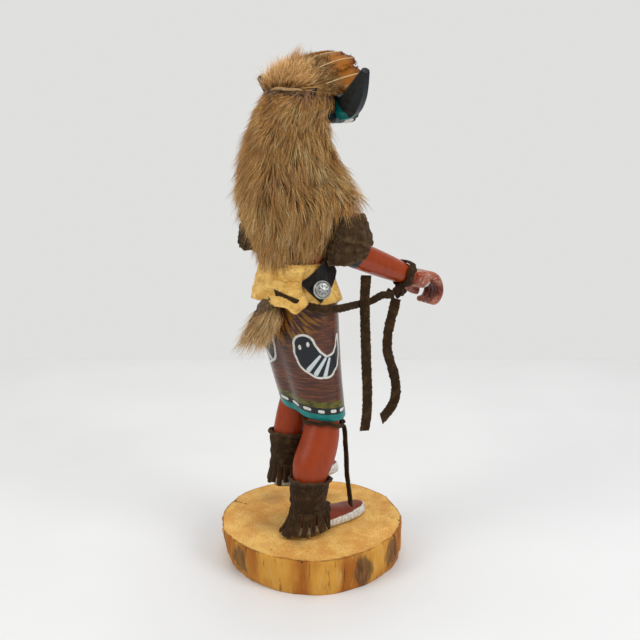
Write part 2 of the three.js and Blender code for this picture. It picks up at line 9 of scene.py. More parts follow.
import logging
import math
from dataclasses import dataclass, field
from enum import Enum
from typing import Callable, Sequence

import bpy
import numpy as np
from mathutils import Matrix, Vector


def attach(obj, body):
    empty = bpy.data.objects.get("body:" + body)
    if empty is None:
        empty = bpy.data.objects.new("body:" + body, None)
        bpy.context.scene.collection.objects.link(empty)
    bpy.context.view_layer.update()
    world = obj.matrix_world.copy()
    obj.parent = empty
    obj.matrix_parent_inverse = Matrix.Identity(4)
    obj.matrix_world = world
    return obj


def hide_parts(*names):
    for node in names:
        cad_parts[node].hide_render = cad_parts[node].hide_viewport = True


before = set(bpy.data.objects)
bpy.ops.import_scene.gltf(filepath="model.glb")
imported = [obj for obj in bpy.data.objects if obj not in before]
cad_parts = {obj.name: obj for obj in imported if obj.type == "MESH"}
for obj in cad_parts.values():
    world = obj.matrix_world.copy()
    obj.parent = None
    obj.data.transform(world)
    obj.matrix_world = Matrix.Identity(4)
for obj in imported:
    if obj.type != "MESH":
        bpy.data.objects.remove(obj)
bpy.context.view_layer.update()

LOG = logging.getLogger("doll")
MM = 0.001
TAU = 2 * math.pi
MAP_NAME = "OFBake"
HEM_HEIGHT = 107.0
POINTS_PER_HAIR = 7
Array = np.ndarray
Keys = Sequence[Sequence[float]]
Spot = tuple[float, float, float]
Tint = Spot
Socket = bpy.types.NodeSocket
Material = bpy.types.Material


# ---- numbers on grids


def steps(count: int) -> Array:
    """Even steps from 0 to 1."""
    return np.linspace(0, 1, count)


def circle(count: int) -> Array:
    """Even angles once round, without the last one."""
    return np.arange(count) * TAU / count


def pack(*parts: Array | float) -> Array:
    """Spreads numbers to one shape and puts them side by side on a last axis."""
    return np.stack(np.broadcast_arrays(*parts), -1)


def spun(points: Array, down: float, out: float) -> Array:
    """Turns points about the x axis, then about the z axis, by angles in degrees."""
    a, b = math.radians(down), math.radians(out)
    x, y, z = np.moveaxis(points, -1, 0)
    y, z = y * math.cos(a) - z * math.sin(a), y * math.sin(a) + z * math.cos(a)
    return pack(x * math.cos(b) - y * math.sin(b), x * math.sin(b) + y * math.cos(b), z)


def smooth_rows(keys: Keys, at: Array) -> Array:
    """Reads rows from key rows on smooth curves.

    Formula: a cubic between each two keys, whose slope at a key is half the step between its
    neighbours.

    Args:
        keys: The key rows, evenly spaced from 0 to 1.
        at: Where to read, from 0 to 1.

    Returns:
        One row for each place.
    """
    k = np.asarray(keys, float)
    spot = np.clip(np.asarray(at, float), 0, 1) * (len(k) - 1)
    i = np.minimum(spot.astype(int), len(k) - 2)
    t = (spot - i)[:, None]
    a, b = k[i], k[i + 1]
    before, after = k[np.maximum(i - 1, 0)], k[np.minimum(i + 2, len(k) - 1)]
    return (
        a * (2 * t**3 - 3 * t**2 + 1) + (b - before) / 2 * (t**3 - 2 * t**2 + t)
        + b * (3 * t**2 - 2 * t**3) + (after - a) / 2 * (t**3 - t**2)
    )


def unit(vectors: Array) -> Array:
    """Scales vectors to length one along their last axis."""
    return vectors / np.maximum(np.linalg.norm(vectors, axis=-1, keepdims=True), 1e-12)


def ease(t: Array) -> Array:
    """A smooth step from 0 to 1: 3 t squared less 2 t cubed, with t held between 0 and 1."""
    t = np.clip(t, 0, 1)
    return t * t * (3 - 2 * t)


def swell(distance: Array, width: float) -> Array:
    """A bump of height one: e to the minus of (distance over width) squared."""
    return np.exp(-((distance / width) ** 2))


def turn_to(angle: Array, other: float) -> Array:
    """The signed turn from one angle to another, between minus pi and pi."""
    return np.arctan2(np.sin(angle - other), np.cos(angle - other))


def ripple(points: Array, size: float, seed: int) -> Array:
    """A smooth wandering number about zero, the same each run.

    Formula: the sum of 12 plane sine waves in random directions, about one size long, over the
    square root of 12.

    Args:
        points: Places in millimetres, with x, y and z on the last axis.
        size: The usual length of a wave, in millimetres.
        seed: Which set of waves.

    Returns:
        A number for each place, mostly between -1 and 1.
    """
    rng = np.random.default_rng(seed)
    waves = unit(rng.normal(size=(12, 3))) * (TAU / size) * rng.uniform(0.6, 1.7, (12, 1))
    return np.sin(points @ waves.T + rng.uniform(0, TAU, 12)).sum(-1) / math.sqrt(12)


def grid_normals(grid: Array) -> Array:
    """A grid's unit normals: the step along a row crossed with the step down a column."""
    return unit(np.cross(np.gradient(grid, axis=1), np.gradient(grid, axis=0)))


# ---- drafts of pieces


@dataclass
class Draft:
    """Closed shells that become one piece: points in millimetres, faces, and numbers on points."""

    points: Array
    quads: Array
    tris: Array
    quad_finish: Array
    tri_finish: Array
    marks: dict[str, Array] = field(default_factory=dict)
    uv: Array | None = None

    def outward(self) -> "Draft":
        """Turns the faces outward, by the sign of the volume that they hold."""
        q, t, p = self.quads, self.tris, self.points
        triangles = np.concatenate([t, q[:, [0, 1, 2]], q[:, [0, 2, 3]]])
        a, b, c = (p[triangles[:, i]] for i in range(3))
        if (a * np.cross(b, c)).sum() < 0:
            self.quads, self.tris = q[:, ::-1].copy(), t[:, ::-1].copy()
        return self

    def mark(self, **marks: Array) -> "Draft":
        """Puts named numbers on the points."""
        self.marks.update({k: np.asarray(v, float) for k, v in marks.items()})
        return self

    @property
    def triangles(self) -> int:
        """How many triangles the faces come to."""
        return 2 * len(self.quads) + len(self.tris)


def draft(points: Array, quads: Array, tris: Array, finish: int = 0) -> Draft:
    """Makes a draft of one shell with one finish, with its faces turned outward."""
    quads = np.asarray(quads, int).reshape(-1, 4)
    tris = np.asarray(tris, int).reshape(-1, 3)
    return Draft(
        np.asarray(points, float).reshape(-1, 3), quads, tris, np.full(len(quads), finish),
        np.full(len(tris), finish)
    ).outward()


def gathered(drafts: Sequence[Draft]) -> Draft:
    """Puts several drafts together as one piece. A mark that a draft lacks is 0 on its points."""
    starts = np.cumsum([0] + [len(d.points) for d in drafts[:-1]])
    names = sorted({name for d in drafts for name in d.marks})
    return Draft(
        np.concatenate([d.points for d in drafts]),
        np.concatenate([d.quads + s for d, s in zip(drafts, starts)]),
        np.concatenate([d.tris + s for d, s in zip(drafts, starts)]),
        np.concatenate([d.quad_finish for d in drafts]),
        np.concatenate([d.tri_finish for d in drafts]),
        {
            n: np.concatenate([d.marks.get(n, np.zeros(len(d.points))) for d in drafts])
            for n in names
        },
        None if any(d.uv is None for d in drafts) else np.concatenate([d.uv for d in drafts])
    )


def ring_shell(rings: Array, finish: int = 0) -> Draft:
    """Closes a grid of rings (rows, around, 3) into a shell, with a middle point at each end."""
    rows, around, _ = rings.shape
    i = np.arange(rows - 1)[:, None] * around
    j = np.arange(around)[None]
    k = (j + 1) % around
    quads = pack(i + j, i + k, i + around + k, i + around + j)
    low, high, top = rows * around, rows * around + 1, (rows - 1) * around
    ends = np.concatenate(
        [
            pack(np.full(around, low), k[0], j[0]),
            pack(np.full(around, high), top + j[0], top + k[0])
        ]
    )
    points = np.concatenate([rings.reshape(-1, 3), rings[0].mean(0)[None], rings[-1].mean(0)[None]])
    return draft(points, quads, ends, finish)


def loop_shell(grid: Array) -> Draft:
    """Closes a grid (rows, columns, 3) both ways, as on a torus."""
    rows, columns, _ = grid.shape
    i, j = np.meshgrid(np.arange(rows), np.arange(columns), indexing="ij")
    i2, j2 = (i + 1) % rows, (j + 1) % columns
    quads = pack(i * columns + j, i * columns + j2, i2 * columns + j2, i2 * columns + j)
    return draft(grid.reshape(-1, 3), quads, [])


def slab(grid: Array, thickness: float) -> Draft:
    """Gives an open grid (rows, columns, 3) a thickness against its normals, and closes its rim."""
    rows, columns, _ = grid.shape
    inner = grid - grid_normals(grid) * thickness
    number = np.arange(rows * columns).reshape(rows, columns)
    face = pack(number[:-1, :-1], number[:-1, 1:], number[1:, 1:], number[1:, :-1]).reshape(-1, 4)
    back = face[:, ::-1] + rows * columns
    rim = np.concatenate([number[0], number[1:, -1], number[-1, -2::-1], number[-2:0:-1, 0]])
    rim2 = np.roll(rim, -1)
    side = pack(rim2, rim, rim + rows * columns, rim2 + rows * columns)
    points = np.concatenate([grid.reshape(-1, 3), inner.reshape(-1, 3)])
    return draft(points, np.concatenate([face, back, side]), [])


def oval_rings(
    keys: Keys, rows: int, around: int, shape: Callable[[Array, Array], Array] | None = None,
    rounded: float = 0.0
) -> Array:
    """Level oval rings stacked through key rows [x, y, z, half width, half depth].

    Formula: x plus half width times the cosine, and y plus half depth times the sine, both times
    shape(angle, share of the height). Near an end the rings draw in on a quarter circle.

    Args:
        keys: The key rows, from the foot up.
        rows: How many rings.
        around: How many points in a ring.
        shape: A factor on the radius, by angle and height.
        rounded: The radius of the edge at both ends, in millimetres.

    Returns:
        Points (rows, around, 3).
    """
    t = steps(rows)
    x, y, z, a, b = smooth_rows(keys, t).T
    angle = circle(around)
    factor = np.ones((rows, around)) if shape is None else shape(angle[None], t[:, None])
    draw = np.zeros(rows)
    if rounded:
        edge = np.clip(1 - np.minimum(z - z[0], z[-1] - z) / rounded, 0, 1)
        draw = rounded * (1 - np.sqrt(1 - edge**2))
    return pack(
        x[:, None] + (a - draw)[:, None] * factor * np.cos(angle),
        y[:, None] + (b - draw)[:, None] * factor * np.sin(angle), z[:, None]
    )


def limb_rings(
    keys: Keys, rows: int, around: int, flatten: float = 1.0, blunt: float = 0.35
) -> Array:
    """Rings square to a curve through key rows [x, y, z, radius], drawn in over rounded ends.

    Formula: the middle plus radius times (side times cosine plus flatten times over times sine),
    where side is the x axis made square to the way ahead, and over is ahead crossed with side.

    Args:
        keys: The key rows.
        rows: How many rings along the limb.
        around: How many points in a ring.
        flatten: The depth of a ring over its width.
        blunt: How far an end stands out, in shares of its radius.

    Returns:
        Points (rows + 12, around, 3).
    """
    body = smooth_rows(keys, steps(rows))
    middle, radius = body[:, :3], body[:, 3]
    ahead = unit(np.gradient(middle, axis=0))
    cap = np.linspace(0, math.pi / 2, 7)[:-1]
    low = middle[0] - ahead[0] * (blunt * radius[0] * np.cos(cap))[:, None]
    high = middle[-1] + ahead[-1] * (blunt * radius[-1] * np.cos(cap[::-1]))[:, None]
    middle = np.concatenate([low, middle, high])
    ahead = np.concatenate([np.repeat(ahead[:1], 6, 0), ahead, np.repeat(ahead[-1:], 6, 0)])
    radius = np.concatenate(
        [radius[0] * np.sin(cap + 0.06), radius, radius[-1] * np.sin(cap[::-1] + 0.06)]
    )
    side = unit(np.array([1.0, 0, 0]) - ahead * ahead[:, :1])
    over = np.cross(ahead, side)
    angle = circle(around)[None, :, None]
    spokes = side[:, None] * np.cos(angle) + flatten * over[:, None] * np.sin(angle)
    return middle[:, None] + radius[:, None, None] * spokes


def ball(middle: Sequence[float], radii: Sequence[float], around: int = 32) -> Draft:
    """An oval ball: latitude and longitude on a sphere, times its three radii."""
    up = np.linspace(-0.49 * math.pi, 0.49 * math.pi, around // 2)[:, None]
    angle = circle(around)[None]
    sphere = pack(np.cos(up) * np.cos(angle), np.cos(up) * np.sin(angle), np.sin(up))
    return ring_shell(np.array(middle) + sphere * np.array(radii))


# ---- from drafts to pieces


def bare_mesh(name: str, plan: Draft) -> bpy.types.Mesh:
    """Writes a draft's points and faces into a mesh, in metres."""
    mesh = bpy.data.meshes.new(name)
    mesh.vertices.add(len(plan.points))
    mesh.vertices.foreach_set("co", (plan.points * MM).astype(np.float32).ravel())
    corners = np.concatenate([plan.quads.ravel(), plan.tris.ravel()])
    quads, tris = len(plan.quads), len(plan.tris)
    starts = np.concatenate([np.arange(quads) * 4, quads * 4 + np.arange(tris) * 3])
    mesh.loops.add(len(corners))
    mesh.loops.foreach_set("vertex_index", corners.astype(np.int32))
    mesh.polygons.add(len(starts))
    mesh.polygons.foreach_set("loop_start", starts.astype(np.int32))
    finishes = np.concatenate([plan.quad_finish, plan.tri_finish]).astype(np.int32)
    mesh.polygons.foreach_set("material_index", finishes)
    mesh.polygons.foreach_set("use_smooth", np.ones(len(starts), bool))
    if plan.uv is not None:
        layer = mesh.uv_layers.new(name=MAP_NAME)
        layer.uv.foreach_set("vector", plan.uv[corners].astype(np.float32).ravel())
    mesh.update(calc_edges=True)
    return mesh


def placed(name: str, data: bpy.types.ID) -> bpy.types.Object:
    """Adds an object to the scene."""
    obj = bpy.data.objects.new(name, data)
    bpy.context.scene.collection.objects.link(obj)
    return obj


def write_marks(mesh: bpy.types.Mesh, marks: dict[str, Array]) -> None:
    """Puts named numbers on a mesh's points as attributes."""
    for name, values in marks.items():
        attribute = mesh.attributes.new(name, "FLOAT", "POINT")
        attribute.data.foreach_set("value", values.astype(np.float32))


def mesh_points(mesh: bpy.types.Mesh) -> Array:
    """A mesh's points in millimetres."""
    points = np.empty(len(mesh.vertices) * 3, np.float32)
    mesh.vertices.foreach_get("co", points)
    return points.reshape(-1, 3).astype(float) / MM


def settled(obj: bpy.types.Object) -> bpy.types.Object:
    """Applies an object's modifiers to its mesh."""
    evaluated = obj.evaluated_get(bpy.context.evaluated_depsgraph_get())
    mesh = bpy.data.meshes.new_from_object(evaluated)
    obj.modifiers.clear()
    old, obj.data = obj.data, mesh
    bpy.data.meshes.remove(old)
    return obj


def carved_as_one(plan: Draft, voxel: float, smooth: int) -> Draft:
    """Joins overlapping closed shells into one skin, softened as a carver's sanding softens wood.

    Args:
        plan: The shells.
        voxel: The size of the skin's faces, in millimetres.
        smooth: How many times each point moves half way to its neighbours' middle.

    Returns:
        A draft of the skin alone.
    """
    obj = placed("carving", bare_mesh("carving", plan))
    remesh = obj.modifiers.new("skin", "REMESH")
    remesh.mode, remesh.voxel_size = "VOXEL", voxel * MM
    soften = obj.modifiers.new("sanding", "SMOOTH")
    soften.factor, soften.iterations = 0.5, smooth
    settled(obj)
    mesh = obj.data
    corners = np.empty(len(mesh.loops), np.int32)
    mesh.loops.foreach_get("vertex_index", corners)
    sizes = np.empty(len(mesh.polygons), np.int32)
    mesh.polygons.foreach_get("loop_total", sizes)
    starts = np.concatenate([[0], np.cumsum(sizes)[:-1]])
    quads = corners[starts[sizes == 4][:, None] + np.arange(4)]
    tris = corners[starts[sizes == 3][:, None] + np.arange(3)]
    skin = draft(mesh_points(mesh), quads, tris)
    bpy.data.objects.remove(obj)
    bpy.data.meshes.remove(mesh)
    return skin


def piece(
    name: str, plan: Draft, finishes: Sequence[Material], stands_for: Sequence[str]
) -> bpy.types.Object:
    """Makes a draft a piece of the doll.

    Args:
        name: The piece's name.
        plan: Its shells, in millimetres.
        finishes: Its materials, in the order of the draft's finish numbers.
        stands_for: The solids that it replaces.

    Returns:
        The object, riding on the doll's one body.
    """
    mesh = bare_mesh(name, plan)
    write_marks(mesh, plan.marks)
    obj = placed(name, mesh)
    for finish in finishes:
        mesh.materials.append(finish)
    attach(obj, "root")
    if stands_for:
        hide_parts(*stands_for)
    LOG.info("%s: %d triangles", name, plan.triangles)
    return obj


# ---- finishes


class Recipe:
    """One material's nodes, added one at a time round its shader. Sizes are in millimetres."""

    def __init__(self, name: str) -> None:
        """Starts a material with a Principled shader and the piece's own coordinates."""
        self.material = bpy.data.materials.new(name)
        self.material.use_nodes = True
        self.tree = self.material.node_tree
        self.shader = self.tree.nodes["Principled BSDF"]
        self.own = self.node("TexCoord").outputs["Object"]

    def node(self, kind: str, inputs: dict | None = None, **settings: object) -> bpy.types.Node:
        """Adds a node, sets its options and plugs its inputs."""
        made = self.tree.nodes.new("ShaderNode" + kind)
        for key, value in settings.items():
            setattr(made, key, value)
        for key, value in (inputs or {}).items():
            self.plug(made.inputs[key], value)
        return made

    def plug(self, socket: Socket, value: object) -> None:
        """Links a socket, or sets it to a number or a colour."""
        if isinstance(value, Socket):
            self.tree.links.new(value, socket)
        elif isinstance(value, tuple) and socket.type == "RGBA":
            socket.default_value = (*value, 1.0)
        else:
            socket.default_value = value

    def noise(
        self, size: float, detail: float = 3.0, stretch: Spot = (1.0, 1.0, 1.0), rough: float = 0.5,
        twist: float = 0.0
    ) -> Socket:
        """Fractal noise from 0 to 1 with lumps of a size, closer along an axis by stretch."""
        spot = self.node("Mapping", {"Vector": self.own, "Scale": stretch}).outputs[0]
        return self.node(
            "TexNoise",
            {
                "Vector": spot, "Scale": 1000 / size, "Detail": detail, "Roughness": rough,
                "Distortion": twist
            }
        ).outputs["Fac"]

    def cells(self, size: float) -> Socket:
        """The distance to the nearest of scattered spots, in shares of their spacing."""
        made = self.node("TexVoronoi", {"Vector": self.own, "Scale": 1000 / size})
        return made.outputs["Distance"]

    def mark(self, name: str) -> Socket:
        """A number that the piece carries on its points."""
        return self.node("Attribute", attribute_name=name).outputs["Fac"]

    def sum(self, how: str, a: object, b: object = 0.0, clamp: bool = False) -> Socket:
        """One Math node."""
        return self.node("Math", {0: a, 1: b}, operation=how, use_clamp=clamp).outputs[0]

    def times(self, a: object, b: object) -> Socket:
        """One number times another."""
        return self.sum("MULTIPLY", a, b)

    def plus(self, a: object, b: object) -> Socket:
        """One number and another."""
        return self.sum("ADD", a, b)

    def less(self, a: object, b: object) -> Socket:
        """One number less another."""
        return self.sum("SUBTRACT", a, b)

    def fade(self, value: object, low: float, high: float) -> Socket:
        """A smooth step: 0 at low and 1 at high, where low may be the larger."""
        flip = low > high
        step = self.node(
            "MapRange",
            {
                "Value": value, "From Min": min(low, high), "From Max": max(low, high),
                "To Min": 1.0 if flip else 0.0, "To Max": 0.0 if flip else 1.0
            },
            interpolation_type="SMOOTHSTEP"
        )
        return step.outputs["Result"]

    def mix(self, share: object, a: object, b: object, mode: str = "MIX") -> Socket:
        """Mixes two colours by a share."""
        made = self.node("Mix", {0: share, 6: a, 7: b}, data_type="RGBA", blend_type=mode)
        return made.outputs[2]

    def veil(
        self, under: object, over: object, value: object, low: float, high: float, most: float = 1.0
    ) -> Socket:
        """Lays a colour over another, from none of it where the value is low to most at high.

        Args:
            under: The colour below.
            over: The colour laid over it.
            value: The number that is read.
            low: Where nothing of the upper colour shows.
            high: Where the most of it shows.
            most: Its largest share.

        Returns:
            The mixed colour.
        """
        share = self.fade(value, low, high)
        return self.mix(share if most == 1.0 else self.times(share, most), under, over)

    def map_axes(self) -> tuple[Socket, Socket]:
        """The piece's own map: the way across it and the way up it."""
        split = self.node("SeparateXYZ", {0: self.node("UVMap", uv_map=MAP_NAME).outputs[0]})
        return split.outputs[0], split.outputs[1]

    def ramp(self, value: object, stops: Sequence[tuple[float, Tint]]) -> Socket:
        """Reads a colour from stops."""
        made = self.node("ValToRGB", {0: value})
        elements = made.color_ramp.elements
        while len(elements) < len(stops):
            elements.new(0.5)
        for element, (place, colour) in zip(elements, stops):
            element.position = place
            element.color = (*colour, 1.0)
        return made.outputs["Color"]

    def relief(self, height: object, depth: float, under: Socket | None = None) -> Socket:
        """Raises the surface by depth millimetres where height is 1."""
        made = self.node("Bump", {"Height": height, "Strength": 1.0, "Distance": depth * MM})
        if under is not None:
            self.plug(made.inputs["Normal"], under)
        return made.outputs[0]

    def done(
        self, colour: object, roughness: object, normal: Socket | None = None, **constants: object
    ) -> Material:
        """Plugs the shader and gives the material."""
        self.plug(self.shader.inputs["Base Color"], colour)
        self.plug(self.shader.inputs["Roughness"], roughness)
        if normal is not None:
            self.plug(self.shader.inputs["Normal"], normal)
        for name, value in {"Specular_IOR_Level": 0.2, **constants}.items():
            self.plug(self.shader.inputs[name.replace("_", " ")], value)
        return self.material


BLACK: Tint = (0.008, 0.01, 0.014)
WHITE: Tint = (0.72, 0.71, 0.66)
TEAL: Tint = (0.002, 0.235, 0.215)
OLIVE: Tint = (0.15, 0.135, 0.008)


@dataclass(frozen=True)
class SatinPaint:
    """Red-brown paint brushed thinly along carved wood, with a satin gloss."""

    name: str = "skin_paint"
    colour: Tint = (0.335, 0.044, 0.007)
    dark: Tint = (0.17, 0.028, 0.011)
    roughness: float = 0.42

    def base(self, r: Recipe) -> tuple[Socket, Socket]:
        """The brushed colour and its relief: streaks down the grain over broad, thin patches."""
        streak = r.noise(1.6, 4, (1.0, 1.0, 0.12), 0.6)
        patch = r.noise(14, 3, rough=0.6)
        thin = r.times(r.fade(streak, 0.58, 0.3), r.fade(patch, 0.72, 0.36))
        colour = r.mix(r.times(thin, 0.55), self.colour, self.dark)
        speck = r.fade(r.cells(2.6), 0.1, 0.03)
        colour = r.mix(r.times(speck, 0.2), colour, self.dark)
        return colour, r.relief(streak, 0.07, r.relief(patch, 0.25))

    def made(self) -> Material:
        """The material."""
        r = Recipe(self.name)
        colour, normal = self.base(r)
        gloss = r.plus(r.times(r.noise(3), 0.16), self.roughness - 0.08)
        return r.done(colour, gloss, normal, Specular_IOR_Level=0.28)


@dataclass(frozen=True)
class ArmPaint(SatinPaint):
    """Arm paint: satin skin, a slate band at the elbow, and a hand dabbed pink and white."""

    name: str = "arm_paint"
    slate: Tint = (0.022, 0.028, 0.034)
    pink: Tint = (0.43, 0.17, 0.1)
    # deep: the colour of the painted shade in the fist's hollow
    deep: Tint = (0.13, 0.018, 0.01)

    def made(self) -> Material:
        """The material, from the marks reach (past the elbow) and hand (past the wrist)."""
        r = Recipe(self.name)
        colour, normal = self.base(r)
        wander = r.times(r.less(r.noise(4), 0.5), 5.0)
        reach = r.plus(r.mark("reach"), wander)
        slate = r.times(r.fade(reach, 0.4, -0.1), r.fade(reach, -7.5, -6.5))
        colour = r.mix(slate, colour, self.slate)
        dab = r.noise(3.2, 5, rough=0.7, twist=0.6)
        hand = r.veil((0.3, 0.062, 0.036), self.pink, dab, 0.44, 0.6)
        hand = r.veil(hand, (0.72, 0.58, 0.48), r.noise(1.1, 4, rough=0.8), 0.56, 0.64)
        # painted shade in the hollow of the fist, where the grip opens below
        hand = r.veil(hand, self.deep, r.mark("hollow"), 0.0, 1.0)
        hand = r.veil(hand, WHITE, r.mark("chalk"), 0.35, 0.6)
        colour = r.veil(colour, hand, r.mark("hand"), -0.3, 0.3)
        gloss = r.plus(r.times(slate, 0.25), 0.26)
        return r.done(
            colour, gloss, r.relief(dab, 0.12, normal), Coat_Weight=0.25, Coat_Roughness=0.2
        )


@dataclass(frozen=True)
class KiltPaint:
    """The kilt's glossy brown-red ground and its painted hem, birds and golden strokes."""

    name: str = "kilt_paint"
    ground: Tint = (0.12, 0.036, 0.016)
    rust: Tint = (0.27, 0.075, 0.014)
    umber: Tint = (0.046, 0.016, 0.012)
    gold: Tint = (0.33, 0.15, 0.012)

    def made(self) -> Material:
        """The material, from the marks hem, dash, motif, bars, eyes, fan and stroke."""
        r = Recipe(self.name)
        streak = r.noise(2.2, 5, (0.16, 0.16, 2.2), 0.62)
        fine = r.noise(0.9, 3, (0.1, 0.1, 1.6), 0.6)
        patch = r.noise(24, 3)
        colour = r.veil(self.umber, self.ground, streak, 0.32, 0.62)
        rust = r.times(r.fade(streak, 0.52, 0.68), r.fade(patch, 0.34, 0.62))
        colour = r.mix(rust, colour, self.rust)
        colour = r.veil(colour, self.rust, fine, 0.62, 0.7, 0.7)
        stroke = r.sum("MULTIPLY", r.fade(r.mark("stroke"), -0.1, 0.45), r.mark("fan"), clamp=True)
        dark = r.sum("MULTIPLY", r.fade(r.mark("stroke"), -0.2, -0.7), r.mark("fan"), clamp=True)
        colour = r.mix(r.times(dark, 0.6), colour, (0.016, 0.01, 0.009))
        colour = r.mix(r.times(stroke, 0.7), colour, self.gold)
        colour = self.bird(r, colour)
        colour, hem = self.hem(r, colour)
        worn = r.plus(r.times(fine, 0.25), r.times(hem, 0.14))
        gloss = r.plus(worn, 0.15)
        normal = r.relief(fine, 0.1, r.relief(patch, 0.35))
        return r.done(colour, gloss, normal, Coat_Weight=0.3, Coat_Roughness=0.14)

    def bird(self, r: Recipe, colour: Socket) -> Socket:
        """Black body with a white outline, white bars across it and two white eyes."""
        white = r.veil((0.5, 0.5, 0.46), WHITE, r.noise(3.0), 0.3, 0.6)
        motif = r.mark("motif")
        inside = r.fade(motif, -0.55, -0.85)
        bars = r.times(r.fade(r.mark("bars"), 0.12, -0.12), inside)
        colour = r.veil(colour, white, motif, 0.95, 0.65)
        colour = r.mix(inside, colour, BLACK)
        colour = r.mix(bars, colour, (0.62, 0.68, 0.7))
        return r.veil(colour, white, r.mark("eyes"), 0.12, -0.12)

    def hem(self, r: Recipe, colour: Socket) -> tuple[Socket, Socket]:
        """An olive line, a black line with white dashes, and a teal border, from the top down."""
        wander = r.times(r.less(r.noise(9), 0.5), 1.2)
        height = r.plus(r.mark("hem"), wander)
        olive = r.veil((0.045, 0.04, 0.006), OLIVE, r.noise(1.4, 3, (0.3, 0.3, 1.5)), 0.35, 0.65)
        colour = r.veil(colour, olive, height, 14.3, 13.7)
        colour = r.veil(colour, BLACK, height, 9.7, 9.3)
        colour = r.veil(colour, WHITE, r.mark("dash"), 0.12, -0.12)
        teal = r.veil((0.001, 0.165, 0.16), TEAL, r.noise(3.5, 4, (0.6, 0.6, 1.6)), 0.3, 0.7)
        border = r.fade(height, 5.2, 4.8)
        return r.mix(border, colour, teal), border


@dataclass(frozen=True)
class MaskPaint:
    """Blue-black mask paint with a white jaw, a teal browband and white-ringed eyes."""

    name: str = "mask_paint"

    def made(self) -> Material:
        """The material, from the marks jaw, brow, ring and pupil."""
        r = Recipe(self.name)
        brush = r.noise(2.4, 4, (1.0, 1.0, 0.3), 0.6)
        colour = r.veil((0.005, 0.008, 0.011), (0.013, 0.016, 0.02), brush, 0.35, 0.7)
        colour = r.veil(colour, TEAL, r.mark("brow"), 0.25, -0.25)
        colour = r.veil(colour, WHITE, r.mark("jaw"), 0.25, -0.25)
        colour = r.veil(colour, WHITE, r.mark("ring"), 0.2, -0.2)
        colour = r.veil(colour, BLACK, r.mark("pupil"), 0.2, -0.2)
        return r.done(colour, 0.36, r.relief(brush, 0.1), Specular_IOR_Level=0.12)


@dataclass(frozen=True)
class HornPaint:
    """Charcoal horn paint with a teal root, and painted shade, blue-black, on forward faces."""

    name: str = "horn_paint"

    def made(self) -> Material:
        """The material, from the marks root (past the teal edge), front (painted shade) and bare.
        """
        r = Recipe(self.name)
        brush = r.noise(2.2, 5, (0.7, 0.7, 0.7), 0.65)
        dust = r.fade(r.noise(1.0, 3), 0.58, 0.72)
        colour = r.veil((0.012, 0.014, 0.014), (0.026, 0.029, 0.028), brush, 0.3, 0.7)
        colour = r.mix(r.times(dust, 0.4), colour, (0.055, 0.058, 0.055))
        # painted shade: the facets that look forward are made darker and bluer, as light and
        # reflection make them
        colour = r.veil(colour, (0.005, 0.01, 0.018), r.mark("front"), 0.35, 0.65)
        colour = r.veil(colour, (0.42, 0.29, 0.17), r.mark("bare"), 0.4, 0.6)
        teal = r.veil((0.001, 0.17, 0.162), TEAL, brush, 0.35, 0.65)
        colour = r.veil(colour, teal, r.mark("root"), 0.25, -0.25)
        return r.done(colour, 0.4, r.relief(brush, 0.12), Specular_IOR_Level=0.15)


@dataclass(frozen=True)
class MoccasinPaint(SatinPaint):
    """A red-brown moccasin with a white side and a thin yellow-green line at the sole."""

    name: str = "moccasin_paint"
    colour: Tint = (0.215, 0.04, 0.02)
    dark: Tint = (0.11, 0.02, 0.012)

    def made(self) -> Material:
        """The material, from the mark rise (above the sole)."""
        r = Recipe(self.name)
        colour, normal = self.base(r)
        rise = r.plus(r.mark("rise"), r.times(r.noise(6), 0.9))
        white = r.veil((0.46, 0.42, 0.38), (0.74, 0.72, 0.67), r.noise(2.0, 4), 0.3, 0.62)
        white = r.veil(white, (0.16, 0.12, 0.09), r.cells(5), 0.14, 0.04)
        colour = r.veil(colour, white, rise, 6.9, 6.5)
        colour = r.veil(colour, (0.42, 0.36, 0.04), rise, 1.25, 0.95)
        return r.done(colour, 0.45, normal)


@dataclass(frozen=True)
class Suede:
    """Dark brown suede: a felted nap that catches light, worn paler along its edges."""

    name: str = "suede"
    colour: Tint = (0.052, 0.025, 0.008)
    pale: Tint = (0.11, 0.06, 0.022)
    dark: Tint = (0.012, 0.006, 0.003)

    def made(self) -> Material:
        """The material, from the mark edge (1 along cut edges)."""
        r = Recipe(self.name)
        nap = r.noise(0.55, 4, rough=0.75)
        patch = r.noise(5, 4, rough=0.6)
        colour = r.veil(self.dark, self.colour, nap, 0.36, 0.66)
        colour = r.veil(colour, self.pale, patch, 0.45, 0.75, 0.6)
        fleck = r.fade(r.noise(0.8, 2), 0.66, 0.74)
        colour = r.mix(r.times(fleck, 0.55), colour, self.pale)
        colour = r.mix(r.times(r.mark("edge"), 0.45), colour, self.pale)
        normal = r.relief(nap, 0.22, r.relief(patch, 0.3))
        return r.done(
            colour, 0.95, normal, Sheen_Weight=0.06, Sheen_Roughness=0.6, Specular_IOR_Level=0.08
        )


@dataclass(frozen=True)
class Chamois:
    """Golden chamois: soft mottling, fine crazing and a few brown stains."""

    name: str = "chamois"
    colour: Tint = (0.95, 0.61, 0.18)
    deep: Tint = (0.68, 0.37, 0.075)
    stain: Tint = (0.23, 0.11, 0.03)

    def made(self) -> Material:
        """The material."""
        r = Recipe(self.name)
        mottle = r.noise(9, 5, (1.0, 1.0, 1.6), 0.62)
        grain = r.noise(0.7, 3, rough=0.7)
        colour = r.veil(self.deep, self.colour, mottle, 0.34, 0.66)
        colour = r.veil(colour, self.deep, grain, 0.55, 0.75, 0.35)
        line = r.fade(r.sum("ABSOLUTE", r.less(r.noise(7, 2, (0.4, 0.4, 1.4)), 0.5)), 0.012, 0.002)
        colour = r.mix(r.times(line, 0.55), colour, self.stain)
        colour = r.mix(r.times(r.mark("edge"), 0.35), colour, self.stain)
        normal = r.relief(grain, 0.12, r.relief(mottle, 0.6))
        return r.done(colour, 0.85, normal, Sheen_Weight=0.2, Sheen_Roughness=0.5)


